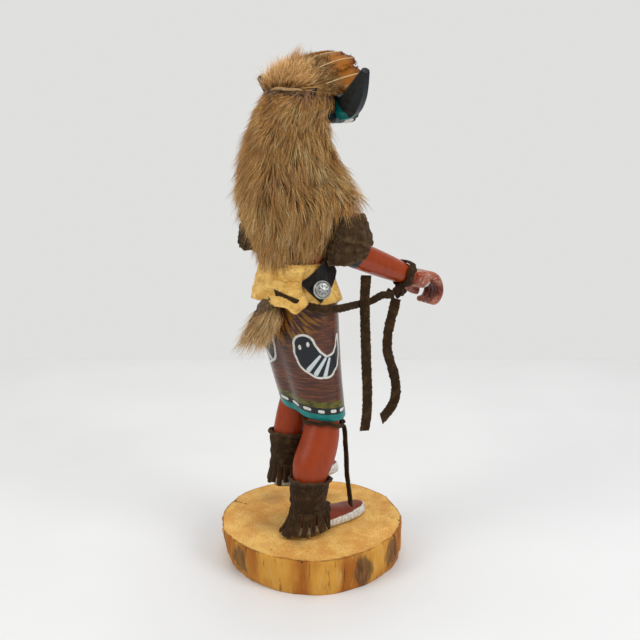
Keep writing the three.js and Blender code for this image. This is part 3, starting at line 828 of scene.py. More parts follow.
@dataclass(frozen=True)
class BlackLeather:
    """Smooth black leather with a fine pebble and a brown cut edge."""

    name: str = "black_leather"

    def made(self) -> Material:
        """The material."""
        r = Recipe(self.name)
        pebble = r.cells(0.8)
        wear = r.noise(4, 4)
        colour = r.veil((0.006, 0.004, 0.004), (0.02, 0.013, 0.01), wear, 0.4, 0.75)
        colour = r.mix(r.times(r.mark("edge"), 0.5), colour, (0.055, 0.03, 0.016))
        return r.done(colour, 0.5, r.relief(pebble, 0.05))


@dataclass(frozen=True)
class Silver:
    """Worn stamped silver, darkened in its hollows."""

    name: str = "silver"

    def made(self) -> Material:
        """The material, from the mark hollow."""
        r = Recipe(self.name)
        tarnish = r.noise(1.6, 4)
        colour = r.veil((0.36, 0.36, 0.34), (0.52, 0.53, 0.52), tarnish, 0.35, 0.7)
        colour = r.veil(colour, (0.13, 0.12, 0.1), r.mark("hollow"), 0.2, 0.9)
        return r.done(colour, 0.42, r.relief(tarnish, 0.03), Metallic=0.85)


@dataclass(frozen=True)
class Hair:
    """Fur strands, coloured by their own map: across it by tone, and up it from root to tip."""

    name: str
    stops: tuple[tuple[float, Tint], ...]
    # root: painted shade that darkens each hair towards its root, where the hairs shade each other
    root: Tint = (0.4, 0.29, 0.21)
    tip: Tint = (1.0, 1.0, 1.0)

    def made(self) -> Material:
        """The material."""
        r = Recipe(self.name)
        across, along = r.map_axes()
        colour = r.ramp(across, self.stops)
        # painted shade from the root up the hair, multiplied over its tone
        shade = r.ramp(along, [(0.0, self.root), (0.45, (0.95, 0.92, 0.88)), (1.0, self.tip)])
        colour = r.mix(1.0, colour, shade, "MULTIPLY")
        return r.done(colour, 0.62)


@dataclass(frozen=True)
class Underfur:
    """The felted skin under the strands: short dark down with a lie."""

    name: str = "underfur"
    colour: Tint = (0.19, 0.115, 0.055)
    dark: Tint = (0.06, 0.034, 0.018)

    def made(self) -> Material:
        """The material."""
        r = Recipe(self.name)
        lie = r.noise(1.0, 4, (1.0, 1.0, 0.18), 0.65)
        patch = r.noise(11, 3)
        colour = r.veil(self.dark, self.colour, lie, 0.34, 0.66)
        colour = r.veil(colour, self.dark, patch, 0.4, 0.7, 0.5)
        return r.done(colour, 0.9, r.relief(lie, 0.6), Sheen_Weight=0.2, Sheen_Roughness=0.5)


@dataclass(frozen=True)
class HideEdge:
    """The pale cut edge of the hide."""

    name: str = "hide_edge"

    def made(self) -> Material:
        """The material."""
        r = Recipe(self.name)
        mottle = r.noise(2.0, 4)
        colour = r.veil((0.36, 0.21, 0.095), (0.56, 0.37, 0.18), mottle, 0.35, 0.7)
        return r.done(colour, 0.8, r.relief(mottle, 0.15))


@dataclass(frozen=True)
class Plume:
    """A feather's vane: drab at the root, orange beyond, dark at the tip, with barbs and quill."""

    name: str
    orange: Tint = (0.52, 0.165, 0.004)
    rust: Tint = (0.26, 0.055, 0.006)
    drab: Tint = (0.36, 0.19, 0.06)
    tip: Tint = (0.03, 0.018, 0.012)
    turn_at: float = 0.38

    def made(self) -> Material:
        """The material, from the feather's map: across it edge to edge, and up it to the tip."""
        r = Recipe(self.name)
        edge_to_edge, along = r.map_axes()
        across = r.sum("ABSOLUTE", r.less(edge_to_edge, 0.5))
        lean = r.less(along, r.times(across, 0.32))
        barb = r.sum("SINE", r.times(lean, 330.0))
        wander = r.times(r.less(r.noise(2.5, 4), 0.5), 0.35)
        reach = r.plus(along, wander)
        colour = r.veil(self.drab, self.orange, reach, self.turn_at - 0.06, self.turn_at + 0.2)
        colour = r.veil(colour, self.rust, reach, 0.72, 0.98)
        colour = r.veil(colour, self.tip, reach, 0.93, 1.02)
        colour = r.veil(colour, (0.06, 0.026, 0.008), barb, 0.1, -0.9)
        shaft = r.times(r.fade(across, 0.03, 0.012), r.fade(along, 0.2, 0.34))
        colour = r.mix(shaft, colour, (0.74, 0.55, 0.28))
        normal = r.relief(r.fade(barb, -1.0, 1.0), 0.12)
        return r.done(colour, 0.48, normal, Specular_IOR_Level=0.15)


@dataclass(frozen=True)
class LogWood:
    """A sawn log slice: golden, speckled end grain and an orange side under shreds of bark."""

    name: str = "log_wood"

    def made(self) -> Material:
        """The material, from the marks top, rim, ring, crack, bark and the painted shadows' mark.
        """
        r = Recipe(self.name)
        pore = r.noise(0.75, 4, rough=0.8)
        patch = r.noise(16, 4, rough=0.6)
        ring = r.sum("SINE", r.times(r.plus(r.mark("ring"), r.times(patch, 3)), 3.2))
        end = r.veil((0.78, 0.37, 0.08), (0.96, 0.6, 0.17), patch, 0.34, 0.66)
        end = r.veil(end, (0.64, 0.29, 0.055), ring, 0.1, 1.0, 0.3)
        end = r.veil(end, (0.44, 0.17, 0.032), pore, 0.52, 0.62, 0.8)
        end = r.veil(end, (0.8, 0.62, 0.34), r.noise(1.5, 3), 0.62, 0.7, 0.6)
        # painted shadows on the top near the figure, laid over the end grain
        end = r.mix(r.times(r.mark("smudge"), 0.45), end, (0.22, 0.14, 0.06))
        grain = r.noise(3.2, 5, (1.0, 1.0, 0.16), 0.65)
        broad = r.noise(22, 3, (1.0, 1.0, 0.4))
        side = r.veil((0.4, 0.125, 0.012), (0.68, 0.33, 0.05), broad, 0.36, 0.64)
        side = r.veil(side, (0.15, 0.05, 0.012), grain, 0.55, 0.72)
        side = r.veil(side, (0.64, 0.4, 0.13), grain, 0.42, 0.3, 0.7)
        bark = r.veil(
            (0.03, 0.02, 0.012), (0.15, 0.09, 0.04), r.noise(1.1, 4, (1.0, 1.0, 0.12)), 0.38, 0.62
        )
        bark_share = r.fade(
            r.plus(r.mark("bark"), r.times(r.noise(5, 4, (1.0, 1.0, 0.5)), 0.8)), 0.78, 1.0
        )
        side = r.mix(r.times(bark_share, 0.7), side, bark)
        colour = r.mix(r.mark("top"), side, end)
        edge = r.plus(r.mark("rim"), r.times(r.noise(3), 0.5))
        colour = r.veil(colour, (0.26, 0.1, 0.024), edge, 0.95, 1.35, 0.45)
        colour = r.veil(colour, (0.045, 0.02, 0.008), r.mark("crack"), 0.25, -0.25)
        height = r.mix(r.mark("top"), grain, pore)
        normal = r.relief(height, 0.45, r.relief(patch, 0.6))
        return r.done(colour, 0.72, normal, Specular_IOR_Level=0.25)


@dataclass(frozen=True)
class PaleTable:
    """A matt white table top with the faintest mottle."""

    name: str = "pale_table"

    def made(self) -> Material:
        """The material."""
        r = Recipe(self.name)
        mottle = r.noise(120, 2)
        colour = r.veil((0.79, 0.79, 0.79), (0.81, 0.81, 0.81), mottle, 0.3, 0.7)
        return r.done(colour, 0.45, Specular_IOR_Level=0.3)


# ---- laces


class Lie(Enum):
    """Which way a lace's flat side is wide."""

    TO_THE_SIDE = (1.0, 1.0, 0.0)
    UPRIGHT = (0.0, 0.0, 1.0)
    ACROSS = (1.0, 0.0, 0.0)


def route_curve(points: Keys, count: int) -> Array:
    """Even steps along a smooth curve through a route's points."""
    fine = smooth_rows(points, steps(1200))
    far = np.concatenate([[0], np.cumsum(np.linalg.norm(np.diff(fine, axis=0), axis=1))])
    at = np.linspace(0, far[-1], count)
    return np.stack([np.interp(at, far, fine[:, k]) for k in range(3)], -1)


@dataclass
class Lace:
    """A flat strip of suede that hangs from the doll, with fretted edges and a cut far end."""

    name: str
    route: Keys
    lie: Lie
    lay: str
    width: float = 6.5
    thickness: float = 1.6
    cut: float = 0.0
    fray: float = 0.1
    seed: int = 1
    step: float = 0.55
    sides: int = 14

    def path(self) -> Array:
        """The middle of the lace, in even steps."""
        fine = route_curve(self.route, 400)
        length = np.linalg.norm(np.diff(fine, axis=0), axis=1).sum()
        return route_curve(self.route, int(length / self.step))

    def plan(self, middle: Array) -> Draft:
        """The strip.

        Formula: a flattened oval, cosine to the power 0.35 by sine to the power 0.8, square to the
        path. Each edge goes in and out by its own ripple, and the last steps lean by cut.
        """
        rows = len(middle)
        ahead = unit(np.gradient(middle, axis=0))
        wide = np.array(self.lie.value)
        wide = unit(wide - ahead * (ahead @ wide)[:, None])
        thick = np.cross(ahead, wide)
        angle = circle(self.sides)
        cosine, sine = np.cos(angle), np.sin(angle)
        across = np.sign(cosine) * np.abs(cosine) ** 0.35
        over = np.sign(sine) * np.abs(sine) ** 0.8
        far = np.arange(rows) * self.step
        probe = pack(far, 0.0, 0.0)
        edges = [
            1 + self.fray * (
                0.5 * ripple(probe, 16, self.seed) + 0.6 * ripple(probe, 1.5, self.seed + 5)
            ),
            1 + self.fray * (
                0.5 * ripple(probe, 14, self.seed + 9) + 0.6 * ripple(probe, 1.3, self.seed + 7)
            )
        ]
        half = np.where(across[None] > 0, edges[0][:, None], edges[1][:, None]) * self.width / 2
        curl = 0.25 * ripple(probe, 24, self.seed + 3)[:, None] * (across[None] ** 2)
        body = (
            middle[:, None] + wide[:, None] * (half * across[None])[..., None]
            + thick[:, None] * (self.thickness / 2 * over[None] + curl)[..., None]
        )
        late = ease((np.arange(rows) - (rows - 9)) / 8.0)[:, None]
        body = body + ahead[:, None] * (self.cut * self.width * across[None] * late)[..., None]
        plan = ring_shell(body)
        edge = np.broadcast_to(np.abs(across[None]) ** 6, (rows, self.sides)).ravel()
        return plan.mark(edge=np.concatenate([edge, [0, 0]]))

    def build(self, suede: Material) -> None:
        """Builds the lace."""
        middle = self.path()
        obj = piece(f"{self.name}_strip", self.plan(middle), [suede], [self.name])
        float(np.linalg.norm(np.diff(middle, axis=0), axis=1).sum()) * MM


ARM_LACE = [
    [-39.8, -10.5, 202.2], [-40, -10, 196], [-40, -9.4, 186], [-40, -9.8, 173], [-40, -10.6, 160],
    [-40, -11.5, 147], [-40, -12.4, 134], [-40, -13, 122], [-40, -13.1, 111], [-40, -11.8, 103],
    [-40, -10.4, 97]
]
WRIST_LACE = [
    [-46, -33.8, 184.5], [-46, -32, 180], [-46, -29.4, 173], [-46, -26.6, 165], [-46, -25.2, 157.5],
    [-46, -26, 150], [-46, -28.6, 142.5], [-46, -32, 134.5], [-46, -34.8, 127], [-46, -35.4, 119.5],
    [-46, -33.6, 113.5], [-46, -29.4, 109], [-46, -24.8, 106], [-46, -20.8, 104.1]
]
WAIST_LACE = [
    [-46, -31, 187.8], [-45, -28, 187.6], [-43.5, -22.6, 188.1], [-41.5, -18.5, 186],
    [-39, -14, 184.1], [-36.9, -9.6, 183.3], [-35.8, -4.4, 183], [-35.8, 1.4, 182.8],
    [-35.2, 7.6, 182.7], [-34, 13.6, 182.9], [-32.6, 19, 183.4], [-29.4, 25, 184.6],
    [-23.4, 31.2, 187], [-15.6, 35.8, 189.8], [-7, 37.9, 192.2]
]
KNEE_LACE = [
    [-15.8, -15.4, 93.6], [-16.4, -16.2, 90], [-17.4, -16.2, 82], [-18.6, -15.6, 74],
    [-19.8, -15, 65.6], [-21, -14.6, 57.4], [-22.2, -14.6, 49.6], [-23.2, -14.8, 42.4],
    [-24, -15, 36.4]
]
LACES = (
    Lace("arm_lace", ARM_LACE, Lie.TO_THE_SIDE, "hanging", cut=0.12, seed=11),
    Lace("wrist_lace", WRIST_LACE, Lie.TO_THE_SIDE, "hanging", cut=-0.45, fray=0.13, seed=23),
    Lace("waist_lace", WAIST_LACE, Lie.UPRIGHT, "loose", width=5.0, cut=0.35, fray=0.12, seed=37),
    Lace("knee_lace", KNEE_LACE, Lie.ACROSS, "hanging", width=4.0, cut=-0.3, seed=41)
)


# ---- the carved figure


def arc_table() -> tuple[Array, Array]:
    """Angles round the kilt, and the length of the way to each, measured from 135 degrees."""
    angle = np.linspace(-math.pi, 2 * math.pi, 3001)
    step = np.hypot(27.6 * np.sin(angle), 19.6 * np.cos(angle)) * np.gradient(angle)
    way = np.cumsum(step)
    return angle, way - np.interp(0.75 * math.pi, angle, way)


def to_strokes(p: Array, strokes: Keys) -> Array:
    """The least signed distance to tapered strokes [x, y, half, x2, y2, half2], negative inside."""
    best = np.full(p.shape[:-1], 1e9)
    for x, y, half, x2, y2, half2 in strokes:
        run = np.array([x2 - x, y2 - y])
        t = np.clip(((p - (x, y)) @ run) / (run @ run), 0, 1)
        gap = np.linalg.norm(p - (x, y) - t[..., None] * run, axis=-1)
        best = np.minimum(best, gap - (half + t * (half2 - half)))
    return best


@dataclass
class Figure:
    """Kilt, torso, legs and moccasins, carved from one block and painted."""

    kilt_keys: Keys = (
        (0, -1.5, 107, 26, 18.4), (1.2, 3.8, 133, 27.8, 20.4), (2.4, 8.4, 160, 30.2, 22.6),
        (0, 10.5, 182, 29, 21), (0, 12.5, 192, 28, 20)
    )
    torso_keys: Keys = (
        (0, 12.5, 190, 26, 18.5), (0, 14, 214, 24.5, 17), (0, 16, 238, 27.5, 17.5),
        (0, 16.5, 255, 29, 15.5), (0, 15.5, 265, 23, 13), (0, 14, 271, 13, 11.5),
        (0, 9, 296.6, 11.5, 11.5)
    )
    right_leg: Keys = (
        (-13.5, 18.5, 30, 8.2, 9), (-13.5, 17.5, 45, 9, 10), (-13.5, 15, 60, 10.4, 11.6),
        (-13.5, 10.5, 75, 12.6, 15.6), (-13.5, 5, 89, 12, 14), (-12.5, 1.0, 104, 10.8, 10.8),
        (-11, 0.5, 118, 8, 8)
    )
    left_leg: Keys = (
        (13.5, 11.5, 55.5, 8.2, 9), (13.5, 10.5, 70.5, 9, 10), (13.5, 8, 87.5, 10.6, 11.7),
        (13.2, 3.5, 104, 11.4, 12), (12, 1.5, 122, 9, 9)
    )
    foot_rows: Keys = (
        (0.0, 0.22, 6), (0.09, 0.74, 14), (0.22, 0.84, 17), (0.36, 0.87, 16.5), (0.5, 0.93, 12.5),
        (0.66, 1, 9.4), (0.8, 0.92, 8.2), (0.92, 0.68, 7.4), (1.0, 0.2, 5)
    )
    foot_half: float = 10.2
    foot_length: float = 64.0
    hem_tilt: float = 0.17
    kilt_rows: int = 150
    kilt_around: int = 270
    body: tuple = (
        (-3.6, 160, 6.6), (-2.4, 154.5, 8.0), (-0.3, 149.8, 8.9), (4, 146.6, 8.4),
        (8.3, 145.6, 7.2), (13.5, 148, 5.4), (17.5, 152.3, 3.2), (19.4, 158, 1.8), (20, 165, 0.5)
    )
    bars: tuple = (
        (5.6, 153.1, 0.8, -2.9, 143.2, 1.4), (9, 151.5, 0.8, 1.6, 140.9, 1.4),
        (11.8, 151.2, 0.75, 7.2, 138.7, 1.35)
    )

    def kilt(self) -> Draft:
        """The kilt, drawn in between the legs at the back and front, its hem risen to the left."""

        def groove(angle: Array, t: Array) -> Array:
            """The factor on the radius: less between the legs, and most of all at the hem."""
            front, back = (swell(turn_to(angle, s * math.pi / 2), 0.26) for s in (-1, 1))
            return 1 - 0.15 * (1 - ease(t / 0.8)) * (back + front)

        rings = oval_rings(self.kilt_keys, self.kilt_rows, self.kilt_around, groove, rounded=1.0)
        height = rings[..., 2].copy()
        t = steps(self.kilt_rows)[:, None]
        rings[..., 2] += self.hem_tilt * rings[..., 0] * (1 - t)
        low = rings[:1] * (0.96, 0.96, 1) + (0, 0, 0.4)
        rings = np.concatenate([low, rings])
        height = np.concatenate([height[:1], height])
        angle = np.broadcast_to(circle(self.kilt_around), height.shape)
        plan = ring_shell(rings)
        return plan.mark(
            **{k: np.append(v.ravel(), [9, 9]) for k, v in self.pattern(angle, height).items()}
        )

    def pattern(self, angle: Array, height: Array) -> dict[str, Array]:
        """The kilt's painted pattern as signed distances in millimetres.

        Formula: the bird is the join of circles that shrink along a hook, laid out on the way round
        the kilt. It is painted once each side, the second one mirrored.
        """
        angles, ways = arc_table()
        wide = np.interp(np.where(angle > 1.75 * math.pi, angle - TAU, angle), angles, ways)
        middle_back = np.interp(math.radians(62), angles, ways)
        chain = [(*a, *b) for a, b in zip(self.body[:-1], self.body[1:])]
        marks: dict[str, Array] = {}
        sides = [1.05 * (wide - 3.0), middle_back - wide]
        for side in sides:
            p = pack(side, height)
            eyes = np.minimum(
                np.hypot(side + 6.3, (height - 158.3) / 1.75) - 1,
                np.hypot(side + 1.1, (height - 160.7) / 1.75) - 1
            )
            found = {"motif": to_strokes(p, chain), "bars": to_strokes(p, self.bars), "eyes": eyes}
            marks = {
                k: np.minimum(marks.get(k, np.full(angle.shape, 99.0)), v) for k, v in found.items()
            }
        count = 15
        spot = angle / TAU * count
        along = (spot - np.round(spot)) * 9.6
        long = 1.75 + 0.5 * np.sin(5 * np.round(spot))
        above = height - HEM_HEIGHT - 7.3 - 0.3 * np.sin(3 * np.round(spot))
        marks["dash"] = np.hypot(np.maximum(np.abs(along) - long, 0), above) - 1.1
        marks["hem"] = height - HEM_HEIGHT
        start = np.interp(math.radians(84), angles, ways)
        over, down = wide - start, 197 - height
        far = np.hypot(over, down)
        slope = np.arctan2(over, np.maximum(down, 0.1))
        marks["stroke"] = ripple(pack(slope * 46, far / 6, 0.0), 3.6, 71)
        reach = np.interp(
            slope, [-1.2, -0.3, 0.15, 0.6, 1.0, 1.3, 1.5], [14, 26, 47, 44, 44, 46, 30]
        )
        marks["fan"] = ease((reach - far) / 9) * ease((far - 2) / 5)
        return marks

    def foot(self, heel: Sequence[float], toes_out: float, toe_down: float) -> Draft:
        """A moccasin.

        Formula: rows from the heel to the toe, half width times the cosine by height times the sine
        to the power 0.7, flat below. Turned down at the toe, turned out, and moved to its heel.
        """
        rows = smooth_rows(self.foot_rows, steps(60))
        share, width, height = rows.T
        angle = circle(64)
        up = np.maximum(np.sin(angle), 0) ** 0.7
        across = np.sign(np.cos(angle)) * np.abs(np.cos(angle)) ** 0.85
        tuck = 1 - 0.1 * (1 - ease(up * 4))
        x = (self.foot_half * width)[:, None] * across * tuck
        z = height[:, None] * up
        y = -share[:, None] * self.foot_length
        rings = spun(pack(x, y, z), toe_down, toes_out) + np.array(heel)
        return ring_shell(rings, 2).mark(rise=np.append(z.ravel(), [3, 3]))

    def build(self, finishes: Sequence[Material]) -> None:
        """Builds the figure."""
        torso = ring_shell(oval_rings(self.torso_keys, 60, 72), 1)
        legs = [ring_shell(oval_rings(keys, 60, 64), 1) for keys in (self.right_leg, self.left_leg)]
        feet = [self.foot((-13.5, 28.5, 25.35), -3.5, 0.0), self.foot((13.5, 21, 50.85), 3.5, 6.0)]
        plan = gathered([self.kilt(), torso, *legs, *feet])
        piece("carved_figure", plan, finishes, ["figure"])


@dataclass
class Arm:
    """An arm glued on at the shoulder: upper arm, forearm and a fist round an empty grip."""

    name: str
    side: int
    upper: Keys
    fore: Keys
    wrist: Spot
    finger: float = 2.6

    def fist(self) -> Draft:
        """A palm, four curled fingers and a thumb, turned down and out and moved to the wrist."""
        parts = [ball((0, -5.5, -0.8), (8.2, 9.5, 5.6))]
        for index, offset in enumerate((-6.3, -2.1, 2.1, 6.3)):
            reach = 1 - 0.04 * abs(index - 1.5)
            keys = [
                [offset * 0.9, 1, 1.2, self.finger], [offset, -11, 4.0, self.finger + 0.3],
                [offset, -19 * reach, 1.5, self.finger + 0.25],
                [offset, -23.5 * reach, -5, self.finger],
                [offset, -22 * reach, -11.5, self.finger - 0.1],
                [offset, -17.5 * reach, -12.8, self.finger - 0.5]
            ]
            parts.append(ring_shell(limb_rings(keys, 40, 20)))
        thumb = [
            [-self.side * 6, -1, -4, 3], [-self.side * 6.5, -7, -7.6, 2.9],
            [-self.side * 3, -11.5, -8.4, 2.4]
        ]
        parts.append(ring_shell(limb_rings(thumb, 24, 20)))
        hand = gathered(parts)
        hand.points = spun(hand.points, 18, self.side * 12) + np.array(self.wrist)
        return hand

    def build(self, paint: Material) -> None:
        """Builds the arm, carved as one and painted by how far along it a point lies."""
        rough = gathered(
            [
                ring_shell(limb_rings(self.upper, 50, 48)),
                ring_shell(limb_rings(self.fore, 70, 48)), self.fist()
            ]
        )
        skin = carved_as_one(rough, 0.8, 3)
        elbow, wrist = np.array(self.fore[1][:3]), np.array(self.wrist)
        ahead = unit(wrist - elbow)
        along = (skin.points - elbow) @ ahead
        hand = along - np.linalg.norm(wrist - elbow) - 0.5
        # low: painted shade in the fist's hollow, below the wrist past the palm, written as the
        # mark hollow
        low = swell(skin.points[:, 2] - wrist[2] + 9.5, 5.0) * ease((hand - 6) / 5)
        patch = wrist + ahead * 9 + np.array([self.side * 5.5, 0, -3.0])
        chalk = swell(np.linalg.norm(skin.points - patch, axis=1), 3.4)
        skin.mark(reach=along - 0.5, hand=hand, hollow=0.8 * low, chalk=chalk)
        piece(f"{self.name}_carved", skin, [paint], [self.name])


ARMS = (
    Arm(
        "arm_right", -1, [[-27, 9, 257, 8.5], [-31, 4, 240, 8.8], [-36, -3, 219, 8.6]],
        [
            [-35.2, 4, 219, 7.8], [-36.5, -4, 216, 8.8], [-41, -26, 207, 8.2],
            [-45.6, -46, 198.6, 6.6]
        ],
        (-46.2, -49, 197.5)
    ),
    Arm(
        "arm_left", 1, [[27, 13, 257, 8.5], [31.5, 15, 240, 8.8], [36, 15.5, 222, 8.6]],
        [[35.4, 19, 222, 7.8], [36.5, 12, 219.5, 8.8], [41, -9, 211, 8.2], [45.6, -29, 202.6, 6.6]],
        (46.2, -32, 201.5)
    )
)


@dataclass
class Mask:
    """A domed case mask with a blunt muzzle, bulging eyes and a cut mouth."""

    keys: Keys = (
        (0, 6, 297, 20, 20), (0, 6, 299, 22, 22), (0, 6, 310, 22.8, 23), (0, 6, 319, 21.5, 21.5),
        (0, 6.5, 325, 16.5, 16.5), (0, 7, 328, 8, 8)
    )
    muzzle: Keys = (
        (0, -10, 305, 10.5), (0, -20, 304.5, 9.6), (0, -30, 304, 8.8), (0, -37, 303.5, 7.6)
    )
    eye: Spot = (8.5, -15.2, 314.0)
    lip: float = 300.1

    def build(self, paint: Material) -> None:
        """Builds the mask, carved as one, its mouth pressed in, and painted by place."""
        places = [np.array(self.eye) * (s, 1, 1) for s in (-1, 1)]
        eyes = [ball(place, (3.6, 3.2, 3.6)) for place in places]
        rough = gathered(
            [
                ring_shell(oval_rings(self.keys, 60, 96)),
                ring_shell(limb_rings(self.muzzle, 50, 48, 0.78)), *eyes
            ]
        )
        skin = carved_as_one(rough, 0.7, 3)
        p = skin.points
        mouth = (
            swell(p[:, 2] - self.lip, 0.55) * ease((-p[:, 1] - 24) / 4)
            * ease((13 - np.abs(p[:, 0])) / 2)
        )
        p += unit(np.array([0, -28, 303]) - p) * (0.9 * mouth)[:, None]
        away = np.minimum(*(np.linalg.norm(p - place, axis=1) for place in places))
        facing = self.eye[1] - p[:, 1]
        jaw = np.maximum(p[:, 2] - self.lip, p[:, 1] + 26)
        skin.mark(
            jaw=np.maximum(jaw, -p[:, 1] - 34.5),
            brow=np.maximum(np.abs(p[:, 2] - 320.5) - 1.6, p[:, 1] + 4),
            ring=np.abs(away - 4.3) - 0.7, pupil=np.maximum(away - 4.0, 1.5 - facing)
        )
        piece("carved_mask", skin, [paint], ["mask"])


@dataclass
class Horn:
    """A whittled horn with flat facets that curves out, back and up from a painted root."""

    name: str
    side: int
    keys: Keys = (
        (19, -8, 305.5, 1), (26.5, -7.6, 308, 1.06), (34, -5.2, 313.8, 0.94),
        (41, -2.2, 320.6, 0.68), (47.4, 0.5, 327.6, 0.34)
    )
    radius: float = 7.6
    facets: int = 7
    around: int = 84

    def build(self, paint: Material) -> None:
        """Builds the horn.

        Formula: the limb's circle becomes a faceted outline, the cosine of half a facet over the
        cosine of the turn from the facet's middle, times 0.97 and plus 0.03 to keep it full.
        """
        keys = [(self.side * x, y, z, self.radius * share) for x, y, z, share in self.keys]
        rings = limb_rings(keys, 90, self.around, 1.05, 0.06)
        facet = TAU / self.facets
        off = np.mod(circle(self.around), facet) - facet / 2
        outline = 0.97 * np.cos(facet / 2) / np.cos(off) + 0.03
        middle = rings.mean(1, keepdims=True)
        rings = middle + (rings - middle) * outline[None, :, None]
        plan = ring_shell(rings)
        spine = np.append(steps(102).repeat(self.around), [0, 1])
        centres = np.append(np.repeat(middle[:, 0], self.around, 0), middle[[0, -1], 0], 0)
        out = unit(plan.points - centres)
        # front: painted shade on the facets that look forward, by the way each one faces
        front = ease((-out[:, 1] + self.side * out[:, 0] * 0.35 - 0.15) / 0.25)
        bare = (out[:, 2] - self.side * out[:, 0] > 0.9) * (self.side > 0) * (spine > 0.45)
        root = (spine - 0.27) * 44 + 1.2 * np.sin(3 * np.arctan2(out[:, 2], out[:, 1]))
        plan.mark(root=root, front=front, bare=bare * 1.0)
        piece(f"{self.name}_carved", plan, [paint], [self.name])


# ---- leather and suede goods


def sleeve(outer: Array, inner: Array) -> Draft:
    """A wall between an outer and an inner stack of rings, closed over both edges."""
    return loop_shell(np.concatenate([outer, inner[::-1]]))


def axis_frame(ahead: Sequence[float]) -> tuple[Array, Array, Array]:
    """Three unit vectors square to each other, the last one along the way given."""
    w = unit(np.array(ahead, float))
    u = unit(np.cross((0.0, 0.0, 1.0) if abs(w[2]) < 0.9 else (1.0, 0.0, 0.0), w))
    return u, np.cross(w, u), w


@dataclass
class Band:
    """A strip of suede tied round a limb, with a lumpy knot and short torn ends."""

    name: str
    middle: Spot
    ahead: Spot
    inner: float
    width: float
    thickness: float = 1.6
    knot: Spot | None = None
    knot_size: Spot = (3.4, 5.0, 4.2)
    seed: int = 5

    def ring(self) -> Draft:
        """The ring: a flattened oval carried round a circle, its edges wandering by ripples."""
        u, v, w = axis_frame(self.ahead)
        turn = circle(180)[None, :]
        spot = circle(20)[:, None]
        probe = pack(np.cos(turn) * 9, np.sin(turn) * 9, 0.0)
        fret = 1 + 0.14 * ripple(probe, 4, self.seed)
        lean = 0.7 * ripple(probe, 11, self.seed + 1)
        wide = np.sign(np.cos(spot)) * np.abs(np.cos(spot)) ** 0.6 * self.width / 2 * fret + lean
        deep = self.inner + self.thickness / 2 + np.sin(spot) * self.thickness / 2
        deep = deep + 0.25 * ripple(probe, 6, self.seed + 2)
        grid = (
            np.array(self.middle)
            + deep[..., None] * (u * np.cos(turn)[..., None] + v * np.sin(turn)[..., None])
            + wide[..., None] * w
        )
        edge = np.broadcast_to(np.abs(np.cos(spot)) ** 6, grid.shape[:2]).ravel()
        return loop_shell(grid).mark(edge=edge)

    def tie(self) -> list[Draft]:
        """The knot: a lump pushed about by ripples, and two short tails."""
        if self.knot is None:
            return []
        lump = ball(self.knot, self.knot_size, 40)
        lump.points += (
            unit(lump.points - self.knot) * (0.8 * ripple(lump.points, 4, self.seed))[:, None]
        )
        k = np.array(self.knot)
        tails = [
            Lace(
                "", [k, k + (1.0, -3.0, 3.0), k + (0.5, -4.5, 7.5)], Lie.TO_THE_SIDE, "", 2.6, 1.3,
                seed=3
            ),
            Lace(
                "", [k, k + (2.5, 3.5, -1.5), k + (5.0, 6.5, 0.5)], Lie.UPRIGHT, "", 3.4, 1.3,
                seed=8
            )
        ]
        share = min(self.knot_size) / 3.4
        plans = []
        for tail in tails:
            tail.route = [k + (p - k) * share for p in tail.route]
            tail.width *= share
            plans.append(tail.plan(tail.path()))
        return [lump.mark(edge=np.zeros(len(lump.points))), *plans]

    def build(self, suede: Material) -> None:
        """Builds the band."""
        piece(
            f"{self.name}_suede", gathered([self.ring(), *self.tie()]), [suede], [self.name],
        )


BANDS = (
    Band(
        "wristband_right", (-44.7, -42.4, 200.1), (-4.6, -20, -7.4), 7.7, 6.5,
        knot=(-46, -36.5, 189.6)
    ),
    Band("wristband_left", (44.7, -25.4, 204.1), (4.6, -20, -7.4), 7.7, 6.5, seed=15),
    Band(
        "knee_band", (-13.3, 2.0, 100.3), (0, 0.2, -1), 12.6, 2.8, knot=(-15.6, -13.6, 96.6),
        knot_size=(2.6, 2.6, 2.4), seed=25
    )
)


@dataclass
class ArmWrap:
    """A thick strip of suede wound round an upper arm, folded over at the top."""

    name: str
    keys: Keys
    slack: tuple[float, ...] = (1.8, 3.2, 3.8, 3.6, 2.6)
    seed: int = 51

    def build(self, suede: Material) -> None:
        """Builds the wrap.

        Formula: oval rings on the arm's keys plus the slack, pushed out by ripples. A second turn
        lies over the first, and its edge runs slanting down round the arm.
        """
        rows = smooth_rows(self.keys, steps(5))
        keys = [(x, y, z, r + s, r + s) for (x, y, z, r), s in zip(rows, self.slack)]
        around, high = 140, 60
        rings = oval_rings(keys, high, around, lambda a, t: 1 + 0.05 * np.sin(2 * a + 5 * t))
        middle = rings.mean(1, keepdims=True)
        out = unit((rings - middle) * (1, 1, 0))
        angle = circle(around)[None]
        t = steps(high)[:, None]
        fold = t - 0.52 - 0.2 * np.sin(angle + 0.7) - 0.03 * np.sin(5 * angle)
        over = 1.1 * ease(fold / 0.05) * (1 - 0.6 * ease((fold - 0.05) / 0.5))
        crease = -0.9 * swell(fold + 0.02, 0.025)
        rumple = (
            0.75 * ripple(rings * (1, 1, 1.4), 8, self.seed)
            + 0.3 * ripple(rings, 3.2, self.seed + 1)
        )
        outer = rings + out * (over + crease + rumple - 0.3)[..., None]
        outer[..., 2] += 0.9 * ripple(rings[:1] * (1, 1, 0), 7, self.seed + 2) * (1 - 2 * t)
        outer[..., 2] -= (1 - t) * (1.5 + 3.5 * np.sin(angle))
        arm = smooth_rows(self.keys, steps(high))
        inner = middle + out * (arm[:, 3] + 0.2)[:, None, None]
        inner[..., 2] = outer[..., 2]
        edge = np.broadcast_to(np.maximum(swell(t - 1, 0.04), swell(t, 0.04)), (high, around))
        plan = sleeve(outer, inner)
        edge = np.maximum(edge, 0.6 * swell(fold - 0.05, 0.03))
        plan.mark(edge=np.concatenate([edge.ravel(), np.zeros(high * around)]))
        piece(f"{self.name}_suede", plan, [suede], [self.name])


